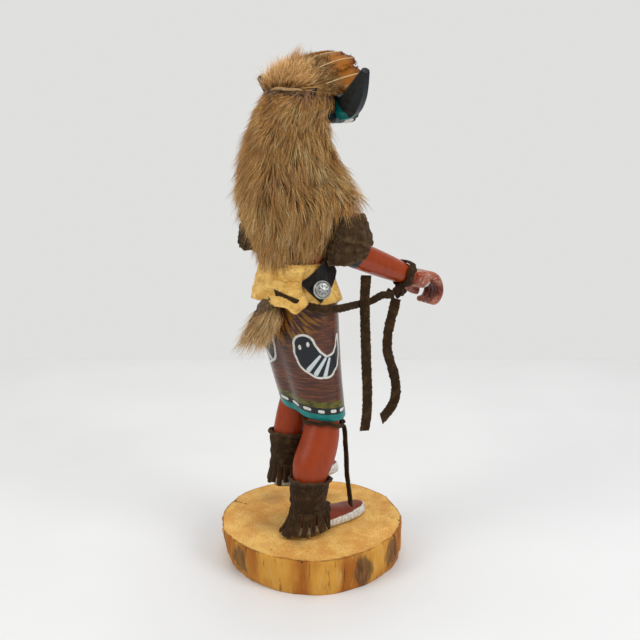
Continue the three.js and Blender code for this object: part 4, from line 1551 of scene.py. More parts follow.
WRAPS = (
    ArmWrap(
        "arm_wrap_right",
        [[-34.8, 2.2, 215.5, 11.0], [-34.6, 0.6, 226, 10.6], [-32.5, 0.5, 241, 9.4]]
    ),
    ArmWrap(
        "arm_wrap_left", [[35.6, 17.2, 219.5, 8.9], [35.4, 16, 229, 8.8], [32.6, 15.2, 243, 8.6]],
        seed=61
    )
)


@dataclass
class Belt:
    """A wide chamois belt whose end laps over its start at the back, with a tab and a stud."""

    keys: Keys = (
        (13, 185.5, 33, 26), (13.3, 190, 32.2, 25.2), (13.7, 198, 30, 22.4), (14, 207, 27.6, 20.4),
        (14, 211, 27, 19.6)
    )
    lap_at: float = 140.0
    lap: float = 34.0
    tab_corners: tuple = ((133, 200), (160, 187.5), (200, 206), (181, 217))
    stud_place: Spot = (-32.8, 22.5, 196.3)
    stud_axis: Spot = (-0.9, 0.42, 0.17)

    def band(self) -> Draft:
        """The belt.

        Formula: a strip wound once round the oval stack and a lap further, its outer end lifted by
        its thickness. Its foot waves, and hangs in a torn point beside the lap.
        """
        high, wide = 44, 300
        t = steps(high)[:, None]
        u = steps(wide)[None]
        first, last = math.radians(self.lap_at - 360 - self.lap), math.radians(self.lap_at)
        angle = first + (last - first + 0.07 * np.sin(9 * t) * u) * u
        y, z, a, b = smooth_rows(self.keys, t.ravel()).T[..., None]
        slack = (
            1 + 0.05 * (1 - t) * swell(turn_to(angle, 1.15), 0.5)
            + 0.012 * np.sin(7 * angle + 4 * t)
        )
        probe = pack(a * np.cos(angle), b * np.sin(angle), z)
        folds = ripple(probe * (0.45, 0.45, 1.5), 11, 81)
        crease = 0.35 * folds - 0.7 * swell(folds - 0.1, 0.1) + 0.12 * ripple(probe, 4, 82)
        lift = 1.3 * ease((u - 0.86) / 0.06) + 0.5 * ease((u - 0.97) / 0.03)
        out = crease + lift
        px = (a * slack + out) * np.cos(angle)
        py = y + (b * slack + out) * np.sin(angle)
        torn = 4.4 * swell(turn_to(angle, math.radians(128)), 0.13) * ease((u - 0.86) / 0.05)
        wave = 0.9 * np.sin(0.13 * px) + 0.3 * ripple(probe * (1, 1, 0), 12, 83) - torn
        pz = z + (1 - t) * wave
        plan = slab(pack(px, py, pz), 1.2)
        rim = np.maximum(swell(t, 0.03), swell(t - 1, 0.03)) + swell(u - 1, 0.006)
        return plan.mark(edge=np.tile(np.clip(rim, 0, 1).ravel(), 2))

    def tab(self) -> Draft:
        """The leather kite: its corners blended across and down, laid on the belt's flare."""
        v, u = np.meshgrid(steps(44), steps(44), indexing="ij")
        left, low, right, head = (np.array(c, float) for c in self.tab_corners)
        spot = (
            left * ((1 - u) * (1 - v))[..., None] + low * ((1 - u) * v)[..., None]
            + right * (u * v)[..., None] + head * (u * (1 - v))[..., None]
        )
        turn, z = np.radians(spot[..., 0]), spot[..., 1]
        rim = np.minimum(np.minimum(u, 1 - u), np.minimum(v, 1 - v))
        out = (
            1.45 + (213 - z) * 0.19 - 0.35 * (1 - ease(rim / 0.05))
            + 0.12 * ripple(spot[..., [0, 1, 0]], 9, 4)
        )
        grid = pack(
            (28 + out) * np.cos(turn), 13 + (21 + out) * np.sin(turn), z + 0.2 * np.sin(turn * 9)
        )
        outward = grid_normals(grid)[22, 22] @ np.array([-0.7, 0.7, 0]) > 0
        plan = slab(grid, 1.3 if outward else -1.3)
        return plan.mark(edge=np.concatenate([swell(rim, 0.03).ravel(), np.ones(rim.size)]))

    def stud(self) -> Draft:
        """A domed stud: a profile turned round an axis, stamped with a plain rosette of petals."""
        profile = np.array(
            [
                [0.1, 0], [5.2, 0], [5.75, 0.25], [5.85, 0.7], [5.6, 1.05], [5.2, 1.25], [4.9, 1.7],
                [4.2, 2.2], [3.2, 2.6], [2.2, 2.9], [1.0, 3.05], [0.1, 3.1]
            ]
        )
        fine = smooth_rows(profile, steps(50))
        turn = circle(120)[None]
        r, h = fine[:, :1], fine[:, 1:]
        face = ease((h - 1.2) / 0.4)
        petal = np.cos(8 * turn) * swell(r - 2.6, 0.9) * 0.14 - 0.2 * swell(r - 4.75, 0.22)
        bead = 0.1 * np.cos(36 * turn) * swell(r - 5.2, 0.3) + 0.16 * swell(r, 0.8)
        up = h + (petal + bead) * face
        u, v, w = axis_frame(self.stud_axis)
        grid = (
            np.array(self.stud_place)
            + r[..., None] * (u * np.cos(turn)[..., None] + v * np.sin(turn)[..., None])
            + up[..., None] * w
        )
        hollow = np.clip(-(petal + bead) * 7 * face, 0, 1)
        return ring_shell(grid).mark(hollow=np.append(hollow.ravel(), [0, 0]))

    def build(self, chamois: Material, leather: Material, silver: Material) -> None:
        """Builds the belt, its tab and its stud."""
        piece("belt_chamois", self.band(), [chamois], ["belt"])
        piece("belt_tab_leather", self.tab(), [leather], ["belt_tab"])
        piece("tab_stud_silver", self.stud(), [silver], ["tab_stud"])


@dataclass
class Cuff:
    """A fringed suede cuff round an ankle: a sleeve with a rolled top, cut into strips below."""

    name: str
    middle: tuple[float, float]
    heel: Spot
    toes_out: float
    lift: float = 0.0
    flare: float = 1.0
    strips: int = 17
    seed: int = 91
    foot: float = 27.4
    cut_from: float = 39.5
    top: float = 63.0
    thickness: float = 1.4

    def wall(self, z: Array) -> Array:
        """How far the outside stands from the middle, at a height before the lift."""
        return np.interp(
            z, [27.4, 37, 42, 47, 55, 63, 64], [14.4, 12.1, 11.8, 12.1, 13.1, 14.2, 14.4]
        )

    def ring(self, z: Array, angle: Array, grow: Array) -> Array:
        """Points at heights and angles on the cuff, which leans forward with the shin."""
        r = self.wall(z) + grow
        x = self.middle[0] + 0.94 * r * np.cos(angle)
        y = self.middle[1] - (z - self.foot) * 0.12 + 1.06 * r * np.sin(angle)
        return pack(x, y, z + self.lift)

    def sleeve(self) -> Draft:
        """The uncut part, its top edge rolled over and its wall softly dented."""
        angle = circle(130)[None]
        z = np.linspace(self.cut_from, self.top, 36)[:, None]
        probe = pack(12 * np.cos(angle), 12 * np.sin(angle), z)
        dent = 0.35 * ripple(probe, 9, self.seed) + 0.15 * ripple(probe, 3, self.seed + 1)
        roll = 0.9 * swell(z - 62.0, 1.0) - 0.5 * swell(z - 59.8, 0.8)
        outer = self.ring(z, angle, dent + roll)
        tilt = (
            0.12 * 14 * np.sin(angle) * ease((z - 55) / 8)
            + 0.5 * ripple(probe[-1:], 6, self.seed + 2) * ease((z - 58) / 5)
        )
        outer[..., 2] += tilt
        inner = self.ring(z, angle, np.array(-self.thickness))
        inner[..., 2] += tilt
        edge = np.broadcast_to(swell(z - self.top, 1.2), outer.shape[:2]).ravel()
        return sleeve(outer, inner).mark(edge=np.concatenate([edge, 0.5 * edge]))

    def ground(self, x: Array, y: Array) -> Array:
        """The height of the foot's top under a place, or of what the foot stands on."""
        a = math.radians(-self.toes_out)
        dx, dy = x - self.heel[0], y - self.heel[1]
        across, along = (
            dx * math.cos(a) - dy * math.sin(a),
            -(dx * math.sin(a) + dy * math.cos(a)) / Figure.foot_length
        )
        row = smooth_rows(Figure.foot_rows, np.clip(along.ravel(), 0, 1))
        width, height = row[:, 1].reshape(x.shape) * Figure.foot_half, row[:, 2].reshape(x.shape)
        within = np.clip(1 - (np.abs(across) / (width + 1.0)) ** 2, 0, 1) ** 0.35
        inside = (along > -0.02) & (along < 1.0)
        return (
            self.heel[2] + np.where(inside, height * within, 0.0)
            - (0.0 if self.lift == 0 else 8.0) * (~inside)
        )

    def strip(self, index: int) -> Draft:
        """One strip: from the sleeve down and out on the flare, over the foot, its tip curling."""
        rng = np.random.default_rng(self.seed * 100 + index)
        middle = (index + 0.5) * TAU / self.strips + rng.uniform(-0.03, 0.03)
        down = steps(18)[:, None]
        across = np.linspace(-1, 1, 5)[None]
        front = swell(turn_to(middle, -math.pi / 2), 0.75)
        back = swell(turn_to(middle, math.radians(70)), 0.8)
        long = (15.5 if self.flare > 0.95 else 13.5) + rng.uniform(-1.5, 1.0) + 1.5 * front
        half = (0.46 * TAU / self.strips) * (1 - 0.18 * down + 0.05 * rng.uniform(-1, 1))
        angle = middle + half * across + rng.uniform(-0.1, 0.1) * down**2
        z = 42.5 - down * long + 0 * angle
        kick = (
            (
                rng.uniform(-0.5, 0.9) * self.flare + 4.0 * front
                + 2.6 * (self.flare - 0.9) * 10 * back
            )
            * down**2
        )
        bow = 0.45 * (1 - across**2) + rng.uniform(-0.5, 0.5) * across * down
        grid = self.ring(z, angle, 0.2 + kick + bow - (1 - self.flare) * 5 * down)
        low = self.ground(grid[..., 0], grid[..., 1]) + 1.7
        grid[..., 2] = np.maximum(grid[..., 2], low + 0.5 * rng.uniform(0, 1) * down)
        grid = grid[::-1]
        normal = grid_normals(grid)
        centre = np.array([self.middle[0], self.middle[1], 0])
        outward = ((grid - centre) * normal * (1, 1, 0.2)).sum(-1).mean() > 0
        plan = slab(grid, 1.3 if outward else -1.3)
        rim = np.clip(swell(np.abs(across) - 1, 0.15) + swell(down - 1, 0.05), 0, 1)[::-1]
        return plan.mark(edge=np.tile(rim.ravel(), 2))

    def build(self, suede: Material) -> None:
        """Builds the cuff."""
        plan = gathered([self.sleeve(), *(self.strip(i) for i in range(self.strips))])
        piece(f"{self.name}_suede", plan, [suede], [self.name])


CUFFS = (
    Cuff("boot_cuff_right", (-13.5, 18.5), (-13.5, 28.5, 25.35), -3.5),
    Cuff("boot_cuff_left", (13.5, 11.8), (13.5, 21, 50.85), 3.5, lift=25.5, flare=0.88, seed=97)
)


# ---- fur and feathers


@dataclass
class Strands:
    """Tapered hairs of three sides and two steps, in whole arrays."""

    root: Array
    first: Array
    last: Array
    length: Array
    tone: Array
    width: float = 0.16
    curl: float = 0.35

    def clumped(self, cell: Array, pull: float) -> Array:
        """The hairs' stations (count, 3, 3), drawn towards the mean tip of their lock.

        Formula: root plus length times (s less half s squared of the first way, plus half s squared
        of the last way), plus pull times s squared of the way to the lock's mean tip.
        """
        s = np.array([0.0, 0.5, 1.0])[None, :, None]
        body = (
            self.root[:, None]
            + self.length[:, None, None] * (
                self.first[:, None] * (s - s * s / 2) + self.last[:, None] * (s * s / 2)
            )
        )
        phase = 40 * np.sin(self.root @ np.array([12.99, 78.23, 37.72]))
        sway = pack(np.cos(phase), np.sin(phase), 0.3 * np.sin(2 * phase))[:, None]
        body = body + self.curl * sway * np.sin(2.2 * math.pi * s + phase[:, None, None]) * s
        _, lock = np.unique(cell, axis=0, return_inverse=True)
        lock = lock.ravel()
        size = np.bincount(lock)
        tips = np.stack([np.bincount(lock, body[:, -1, k]) / size for k in range(3)], -1)
        return body + pull * s * s * (tips[lock] - body[:, -1])[:, None]

    def plan(self, cell: Array, pull: float = 0.5) -> Draft:
        """The hairs as closed spikes, with tone across the map and root to tip up it."""
        body = self.clumped(cell, pull)
        count = len(body)
        ahead = unit(body[:, 1:] - body[:, :-1])
        side = unit(np.cross(ahead, np.array([0.31, 0.52, 0.79])))
        over = np.cross(ahead, side)
        turn = circle(3)
        radius = self.width * np.array([1.05, 0.9])
        spokes = side[:, :, None] * np.cos(turn)[:, None] + over[:, :, None] * np.sin(turn)[:, None]
        rings = body[:, :2, None] + radius[None, :, None, None] * spokes
        points = np.concatenate([rings.reshape(count, 6, 3), body[:, 2:]], 1).reshape(-1, 3)
        j, k = np.arange(3), (np.arange(3) + 1) % 3
        quads = pack(j, k, 3 + k, 3 + j)
        tris = np.concatenate([pack(3 + j, 3 + k, np.full(3, 6)), [[2, 1, 0]]])
        start = (np.arange(count) * POINTS_PER_HAIR)[:, None, None]
        plan = Draft(
            points, (quads[None] + start).reshape(-1, 4), (tris[None] + start).reshape(-1, 3),
            np.zeros(count * len(quads), int), np.zeros(count * len(tris), int)
        ).outward()
        across = np.array([-0.006, 0.0, 0.006] * 2 + [0.0])
        up = np.repeat([0.03, 0.5, 0.97], [3, 3, 1])
        u = np.clip(self.tone, 0.02, 0.98)[:, None] + across
        plan.uv = pack(u, np.broadcast_to(up, u.shape)).reshape(-1, 2)
        return plan


@dataclass
class Pelt:
    """A half-round cape of fur from the crown to the belt, open at the front."""

    keys: Keys = (
        (-1, 8, 204, 17, 20.5), (-0.5, 8.5, 212, 25, 30), (-0.5, 9, 229, 31.5, 35),
        (-1.5, 10.5, 247, 38.5, 41.5), (-0.3, 10.5, 264, 35, 43.5), (0, 9.5, 282, 31.5, 41),
        (0, 8, 298, 29.5, 36.5), (0, 8, 309, 28.5, 31), (0, 8, 318.6, 25, 23.8)
    )
    front: float = 4.0
    strands: int = 24000
    parts: int = 3

    def surface(self, u: Array, t: Array, sink: float) -> Array:
        """The cape's surface, sunk inward: u runs round it from one front edge to the other."""
        x, y, z, a, b = smooth_rows(self.keys, t.ravel()).T.reshape(5, *t.shape)
        a, b = a - sink, b - sink
        front = self.front + 6 * swell(t - 0.7, 0.14) - 9 * swell(t - 0.39, 0.16)
        start = np.arcsin(np.clip((front - y) / b, -0.9, 0.9))
        angle = start + u * (math.pi - 2 * start)
        bulge = 3.4 * swell(t - 0.43, 0.15) * swell(np.abs(angle - math.pi / 2) - 1.75, 0.35)
        a, b = a + bulge, b + 0.4 * bulge
        locks = (
            1 + 0.022 * np.sin(17 * angle + 3 * np.sin(9 * t)) + 0.016 * np.sin(9 * angle - 14 * t)
        )
        return pack(x + a * locks * np.cos(angle), y + b * locks * np.sin(angle), z)

    def skin(self) -> Draft:
        """The hide under the hairs."""
        t, u = np.meshgrid(np.linspace(0.05, 1, 60), steps(80), indexing="ij")
        grid = self.surface(u, t, 6.0)
        grid = grid + grid_normals(grid) * (0.5 * ripple(grid * (1, 1, 0.5), 5, 3))[..., None]
        return slab(grid, 2.0)

    def hairs(self, part: int) -> Draft:
        """A third of the hairs, seeded evenly over the cape, hanging down and lying in locks."""
        rng = np.random.default_rng(700 + part)
        n = self.strands // self.parts
        t = rng.uniform(0.035, 1.0, 3 * n)
        keep = rng.uniform(0, 1, 3 * n) < np.interp(
            t, [0, 0.1, 0.3, 0.55, 0.8, 1], [0.35, 0.7, 0.95, 1, 0.8, 0.62]
        )
        t = t[keep][:n]
        u = rng.uniform(0, 1, len(t))
        sink, step = 6.3, 1e-3
        root = self.surface(u, t, sink)
        du = self.surface(u + step, t, sink) - self.surface(u - step, t, sink)
        dt = self.surface(u, t + step, sink) - self.surface(u, t - step, sink)
        out, up = unit(np.cross(du, dt)), unit(dt)
        side = unit(du)
        wander = 0.35 * ripple(root, 16, 5)[:, None] * side
        jitter = rng.normal(0, 0.13, (len(t), 3))
        fly = (rng.uniform(0, 1, len(t)) < 0.06)[:, None]
        rise = np.interp(t, [0, 0.15, 0.8, 1.0], [0.35, 0.62, 0.55, 0.5])[:, None]
        first = unit(rise * out - up + wander + 1.5 * jitter + 0.7 * fly * out)
        last = unit(
            0.14 * out - up + 1.6 * wander + 2.4 * jitter + np.array([0, 0, -0.35])
            + 0.5 * fly * out
        )
        length = (
            np.interp(t, [0, 0.12, 0.3, 0.7, 0.9, 1], [11, 15, 19, 17, 11, 7])
            * rng.uniform(0.7, 1.15, len(t))
        )
        cell = np.floor(pack(u * 62 + rng.normal(0, 0.2, len(t)), t * 30 + 2 * np.sin(u * 90)))
        lock_tone = np.sin(cell @ np.array([12.9898, 78.233]) * 1.7) * 0.5 + 0.5
        broad = 0.5 + 0.5 * ripple(root * (1, 1, 0.6), 30, 9)
        tone = 0.55 * lock_tone + 0.2 * broad + rng.normal(0.13, 0.17, len(t))
        tone = tone * np.interp(t, [0, 0.86, 0.97], [1, 1, 0.25])
        return Strands(root, first, last, length, tone, 0.13, 0.7).plan(cell, 0.32)

    def edge(self) -> Draft:
        """The pale edge of the hide along the top of the back."""
        u, v = np.meshgrid(steps(90), steps(10), indexing="xy")
        angle = np.radians(88 + 48 * u)
        rise = 1.7 * np.abs(np.sin(math.pi * u)) ** 0.5 * v + 0.3 * np.sin(9 * u)
        out = 1.5 + 0.3 * np.sin(7 * u) * v
        grid = pack(
            (24.6 + out) * np.cos(angle), 8 + (22.8 + out) * np.sin(angle),
            316.4 + rise + 0.5 * np.sin(6 * u)
        )
        return slab(grid, -1.0)

    def build(self, hair: Material, down: Material, hide: Material) -> None:
        """Builds the cape: hide, edge and hairs."""
        piece("pelt_hide", self.skin(), [down], ["fur_pelt"])
        piece("pelt_edge", self.edge(), [hide], ["fur_pelt"])
        for part in range(self.parts):
            piece(f"pelt_hairs_{part + 1}", self.hairs(part), [hair], ["fur_pelt"])


@dataclass
class Crown:
    """Fur that stands up behind the feathers."""

    strands: int = 7000
    middle: Spot = (0, 9.0, 307.0)
    radii: Spot = (23.0, 25.5, 25.5)

    def dome(self, place: Array, angle: Array, sink: float) -> tuple[Array, Array]:
        """A place and its normal on the low dome of fur: an oval ball about the back of the crown.

        Args:
            place: Turns up from the rim, in radians.
            angle: Turns round from the left side over the back.
            sink: How far under the dome.

        Returns:
            Points and unit normals.
        """
        radii = np.array(self.radii)
        way = pack(np.cos(place) * np.cos(angle), np.cos(place) * np.sin(angle), np.sin(place))
        return np.array(self.middle) + way * (radii - sink), unit(way / radii)

    def build(self, hair: Material, down: Material) -> None:
        """Builds the down under it and its hairs, which lie up and forward over the crown."""
        place, turn = np.linspace(0.25, 1.5, 44)[:, None], circle(96)[None]
        rings, normals = self.dome(place, turn, 1.6)
        rings = rings + normals * (0.7 * ripple(rings, 5, 33))[..., None]
        piece("crown_down", ring_shell(rings), [down], ["crown_fur"])
        rng = np.random.default_rng(801)
        n = self.strands
        place, angle = np.arcsin(rng.uniform(0.38, 0.99, n)), rng.uniform(-0.55, math.pi + 0.55, n)
        root, out = self.dome(place, angle, 2.0)
        back = ease((root[:, 1] - 14) / 14)[:, None]
        jitter = (
            rng.normal(0, 0.3, (n, 3))
            + 0.3 * ripple(root, 5, 37)[:, None] * np.array([1.0, 0.3, 0.4])
        )
        first = unit((0.3 + 0.5 * back) * out + (0, -0.65, 0.5) + jitter)
        last = unit(0.15 * out + (0, -0.95, 0.3) + 1.4 * jitter)
        length = rng.uniform(7, 18, n) * (0.8 + 0.4 * back[:, 0])
        cell = np.floor(pack(angle * 9, place * 9))
        tone = 0.5 + 0.24 * np.sin(cell @ np.array([3.1, 7.7])) + rng.normal(0, 0.2, n)
        stray = (np.abs(place - 1.12) < 0.07) & (np.abs(angle - 1.75) < 0.16)
        first[stray], last[stray] = unit(
            np.array([-0.2, -0.2, 1.0]) + jitter[stray]
        ), unit(np.array([-0.5, -0.5, 0.8]))
        length[stray], tone[stray] = rng.uniform(15, 23, stray.sum()), 0.3
        cell[stray] = 99 + np.floor(3 * rng.uniform(0, 1, (int(stray.sum()), 1)))
        hairs = Strands(root, first, last, length, tone, 0.13, 0.8).plan(cell, 0.22)
        piece("crown_hairs", hairs, [hair], ["crown_fur"])


@dataclass
class Tail:
    """A tuft of long hair that hangs from under the belt."""

    keys: Keys = (
        (15, 46, 150, 2, 2), (13, 45, 156, 6, 6), (7, 42.5, 166, 14, 9.5), (2, 39.5, 176, 16, 8),
        (-1, 36.5, 184, 15, 6)
    )
    strands: int = 1700

    def build(self, hair: Material, down: Material) -> None:
        """Builds the core of the tuft and its hairs."""
        core = [(x, y - 1, z + 6, 0.45 * a, 0.45 * b) for x, y, z, a, b in self.keys[2:]]
        rings = oval_rings(core, 36, 60)
        rings += (
            (0.5 * ripple(rings, 4, 35))[..., None] * unit(rings - rings.mean(1, keepdims=True))
        )
        piece("tail_down", ring_shell(rings), [down], ["tail_tuft"])
        rng = np.random.default_rng(901)
        n = self.strands
        t, angle = 1 - rng.uniform(0, 1, n) ** 1.4 * 0.55, rng.uniform(0, TAU, n)
        x, y, z, a, b = smooth_rows(self.keys, t).T
        share = np.sqrt(rng.uniform(0.1, 1, n)) * 0.55
        root = pack(x + share * a * np.cos(angle), y + share * b * np.sin(angle), z)
        out = pack(np.cos(angle), np.sin(angle), 0.0)
        jitter = rng.normal(0, 0.22, (n, 3))
        way = unit(np.array([9.0, 9.0, -33.0]))
        first = unit(0.45 * out + way + jitter)
        last = unit(0.2 * out + 1.1 * way + (0.06, 0.05, -0.1) + 1.3 * jitter)
        length = rng.uniform(9, 23, n)
        cell = pack(np.floor(angle * 3), np.floor(t * 6))
        tone = 0.55 + 0.3 * np.sin(cell @ np.array([2.7, 5.3])) + rng.normal(0, 0.16, n)
        piece(
            "tail_hairs", Strands(root, first, last, length, tone, 0.11, 1.0).plan(cell, 0.5),
            [hair], ["tail_tuft"]
        )


@dataclass
class Feather:
    """A body feather laid over the crown from back to front: vane, quill, barbs and down."""

    number: int
    turn: float
    half: float = 7.6
    rows: Keys = ((0.45,), (0.75,), (0.95,), (1.0,), (0.9,), (0.5,))

    @property
    def stagger(self) -> float:
        """How far the blade lies over or under its neighbours."""
        return 0.35 * (-1) ** self.number

    def spot(self, u: Array, v: Array, off: float) -> Array:
        """A point on the blade.

        Formula: from the root (y 18, z 307, 23.5 out) to the tip (y -22, z 317, 25.5 out), arched
        by 2.6 times the sine, and dropping away from the quill with the square of u.
        """
        a = math.radians(self.turn)
        out, side = np.array([math.sin(a), 0, math.cos(a)]), np.array(
            [math.cos(a), 0, -math.sin(a)]
        )
        width = smooth_rows(self.rows, np.clip(v, 0, 1).ravel())[:, 0].reshape(v.shape) * self.half
        reach = 23.5 + v * 2 + 2.6 * np.sin(math.pi * np.clip(v, 0, 1)) + off - 1.3 * u**2
        middle = pack(0.0, 18 - 40 * v, 307 + 10 * v)
        return middle + out * reach[..., None] + side * (u * width)[..., None]

    def vane(self) -> Draft:
        """The blade, its edges nicked where barbs have parted."""
        v, u = np.meshgrid(np.linspace(0.02, 0.985, 90), np.linspace(-1, 1, 17), indexing="ij")
        rng = np.random.default_rng(40 + self.number)
        nick = (
            1
            - 0.16 * np.clip(ripple(pack(v * 40, np.sign(u) * 9, 0.0), 1.6, 60 + self.number), 0, 2)
        )
        lean = v + 0.05 * (1 - np.abs(u)) + rng.uniform(-0.002, 0.002, v.shape)
        grid = self.spot(u * nick, np.clip(lean, 0, 1.03), self.stagger)
        plan = slab(grid, 0.3)
        uv = pack((u + 1) / 2, v).reshape(-1, 2)
        plan.uv = np.concatenate([uv, uv])
        return plan

    def quill(self) -> Draft:
        """The shaft: a thin cone along the middle of the blade."""
        v = np.linspace(0.22, 0.93, 60)
        middle = self.spot(0 * v, v, 0.55 + self.stagger)
        keys = np.column_stack([middle, np.interp(v, [0, 1], [0.34, 0.12])])
        rings = limb_rings(keys, 60, 8)
        plan = ring_shell(rings)
        plan.uv = np.tile([[0.5, 0.5]], (len(plan.points), 1))
        return plan

    def barbs(self) -> Draft:
        """Loose barbs past the edges, and down about the root."""
        rng = np.random.default_rng(400 + self.number)
        n = 500
        sign = rng.choice([-1.0, 1.0], n)
        v = rng.uniform(0.05, 0.99, n)
        downy = v < 0.45
        share = rng.uniform(0.45, 0.9, n) * np.where(downy, rng.uniform(0, 1.1, n), 1)
        root = self.spot(sign * share, v, 0.25 + self.stagger)
        tip = self.spot(
            sign * (share + 0.4), v + 0.07 + 0.12 * downy, 0.3 + 1.2 * downy + self.stagger
        )
        jitter = rng.normal(0, 0.13, (n, 3)) + downy[:, None] * rng.normal(0, 0.35, (n, 3))
        way = unit(tip - root) + jitter
        length = rng.uniform(2.6, 4.2, n) * (1 + 0.9 * downy)
        plan = Strands(
            root, unit(way), unit(way + 0.4 * jitter), length, np.full(n, 0.3), 0.12
        ).plan(np.arange(n)[:, None], 0.0)
        pale = (v > 0.5) & (sign * np.sign(self.turn) > 0) & (abs(self.turn) > 50)
        plan.uv = np.column_stack(
            [np.repeat(np.where(pale, 0.5, 0.22), POINTS_PER_HAIR), np.repeat(v, POINTS_PER_HAIR)]
        )
        return plan

    def build(self, plume: Material) -> None:
        """Builds the feather."""
        plan = gathered([self.vane(), self.quill(), self.barbs()])
        piece(f"feather_{self.number}_plume", plan, [plume], [f"feather_{self.number}"])


# ---- the log and the room


@dataclass
class LogSlice:
    """The log slice that the doll stands on, sawn flat, with cracks and shreds of bark."""

    radius: float = 64.0
    height: float = 25.0
    cracks: tuple = (
        (63, 23.2, 0.55, 52, 20.2, 0.4), (52, 20.2, 0.4, 42, 19.3, 0.0),
        (-35.9, -38.2, 0.0, -48.5, -39.7, 0.55), (-33.8, 41.8, 0.0, -41.5, 49.4, 0.6),
        (30, 30, 0.0, 38, 22, 0.15), (7.4, 46.2, 0.5, 9.0, 47.2, 0.3), (-20, 50, 0.1, -14, 53, 0.2)
    )

    def build(self, wood: Material) -> None:
        """Builds the slice.

        Formula: radius times the bark's lobes (sines of 3, 5 and 13 times the angle) less an
        undercut and two chips, carried up the side and in to the middle of both faces.
        """
        around, foot, sides, tops = 340, 10, 34, 48
        brim = foot + sides
        side_z = np.linspace(0, self.height, sides)
        share = np.interp(side_z, [0, 2, 9, 23, 25], [0.97, 0.985, 1, 1, 0.985])
        under, over = np.linspace(0.02, 0.97, foot), np.linspace(0.985, 0.015, tops)
        z = np.concatenate([np.zeros(foot), side_z, np.full(tops, self.height)])[:, None]
        reach = np.concatenate([under * 0.97, share, over])[:, None]
        reach[brim:] = over[:, None] * 0.998
        a = circle(around)[None]
        lobes = 0.012 * np.sin(3 * a + 0.6) + 0.008 * np.sin(5 * a + 2) + 0.004 * np.sin(13 * a)
        under_cut = 0.07 * swell(turn_to(a, math.pi / 4), 1) * (1 - z / self.height)
        chips = 0.02 * swell(turn_to(a, 5.6), 0.09) + 0.015 * swell(turn_to(a, 2.1), 0.06)
        chips = chips * ease((z - 12) / 8)
        r = self.radius * reach * (1 + lobes - under_cut - chips)
        x, y, z = r * np.cos(a), r * np.sin(a), z + 0 * a
        p = pack(x, y, z)
        side = np.zeros(len(z))
        side[foot:brim] = 1
        out = pack(np.cos(a), np.sin(a), 0 * z)
        rough = (
            0.35 * ripple(p * (1, 1, 0.12), 3.5, 17) + 0.5 * ripple(p * (1, 1, 0.2), 12, 18) - 0.5
        )
        p += out * (rough * side[:, None] * ease(z / 3 + 0.3))[..., None]
        top = np.zeros(len(z))
        top[brim:] = 1
        crack = to_strokes(pack(x, y), self.cracks)
        crack = np.where(z > 12, crack + 0.25 * ripple(p, 3, 19), 9.0)
        crack = np.where(side[:, None] > 0, crack + (self.height - z) * 0.1, crack)
        p[..., 2] -= (
            top[:, None] * (0.9 * ease((0.25 - crack) / 0.4) + 0.1 * np.abs(ripple(p, 2.2, 20)))
        )
        plan = ring_shell(p)
        angle = np.degrees(a)
        bark = sum(
            h * swell(
                (angle - m + 180) % 360 - 180, w
            ) * np.clip(1.15 - np.abs(z - c) / 17, 0, 1) for m,
            w, h,
            c in (
                (169, 8, 1.0, 11), (197, 10, 0.9, 13), (84, 9, 0.8, 12), (66, 4, 0.9, 14),
                (20, 14, 0.9, 12), (260, 12, 0.8, 10), (310, 20, 0.9, 12)
            )
        )
        rim = side[:, None] * swell(z - 24.6, 0.9) + top[:, None] * swell(reach - 0.985, 0.008)
        # painted shadows: darker patches on the top round the figure, where it shades the log
        smudge = swell(np.hypot(x - 41.8, y + 2.8), 13) + 0.7 * swell(np.hypot(x - 12, y - 32), 10)
        smudge = smudge + 0.8 * swell(np.hypot(x + 22, y - 34), 6)
        rings = np.hypot(x + 9, y - 12)
        marks = {
            "top": top[:, None], "rim": rim, "ring": rings, "crack": crack, "smudge": smudge,
            "bark": bark
        }
        plan.mark(
            **{k: np.append(np.broadcast_to(v, x.shape).ravel(), [0, 0]) for k, v in marks.items()}
        )
        piece("log_slice", plan, [wood], ["log_base"])


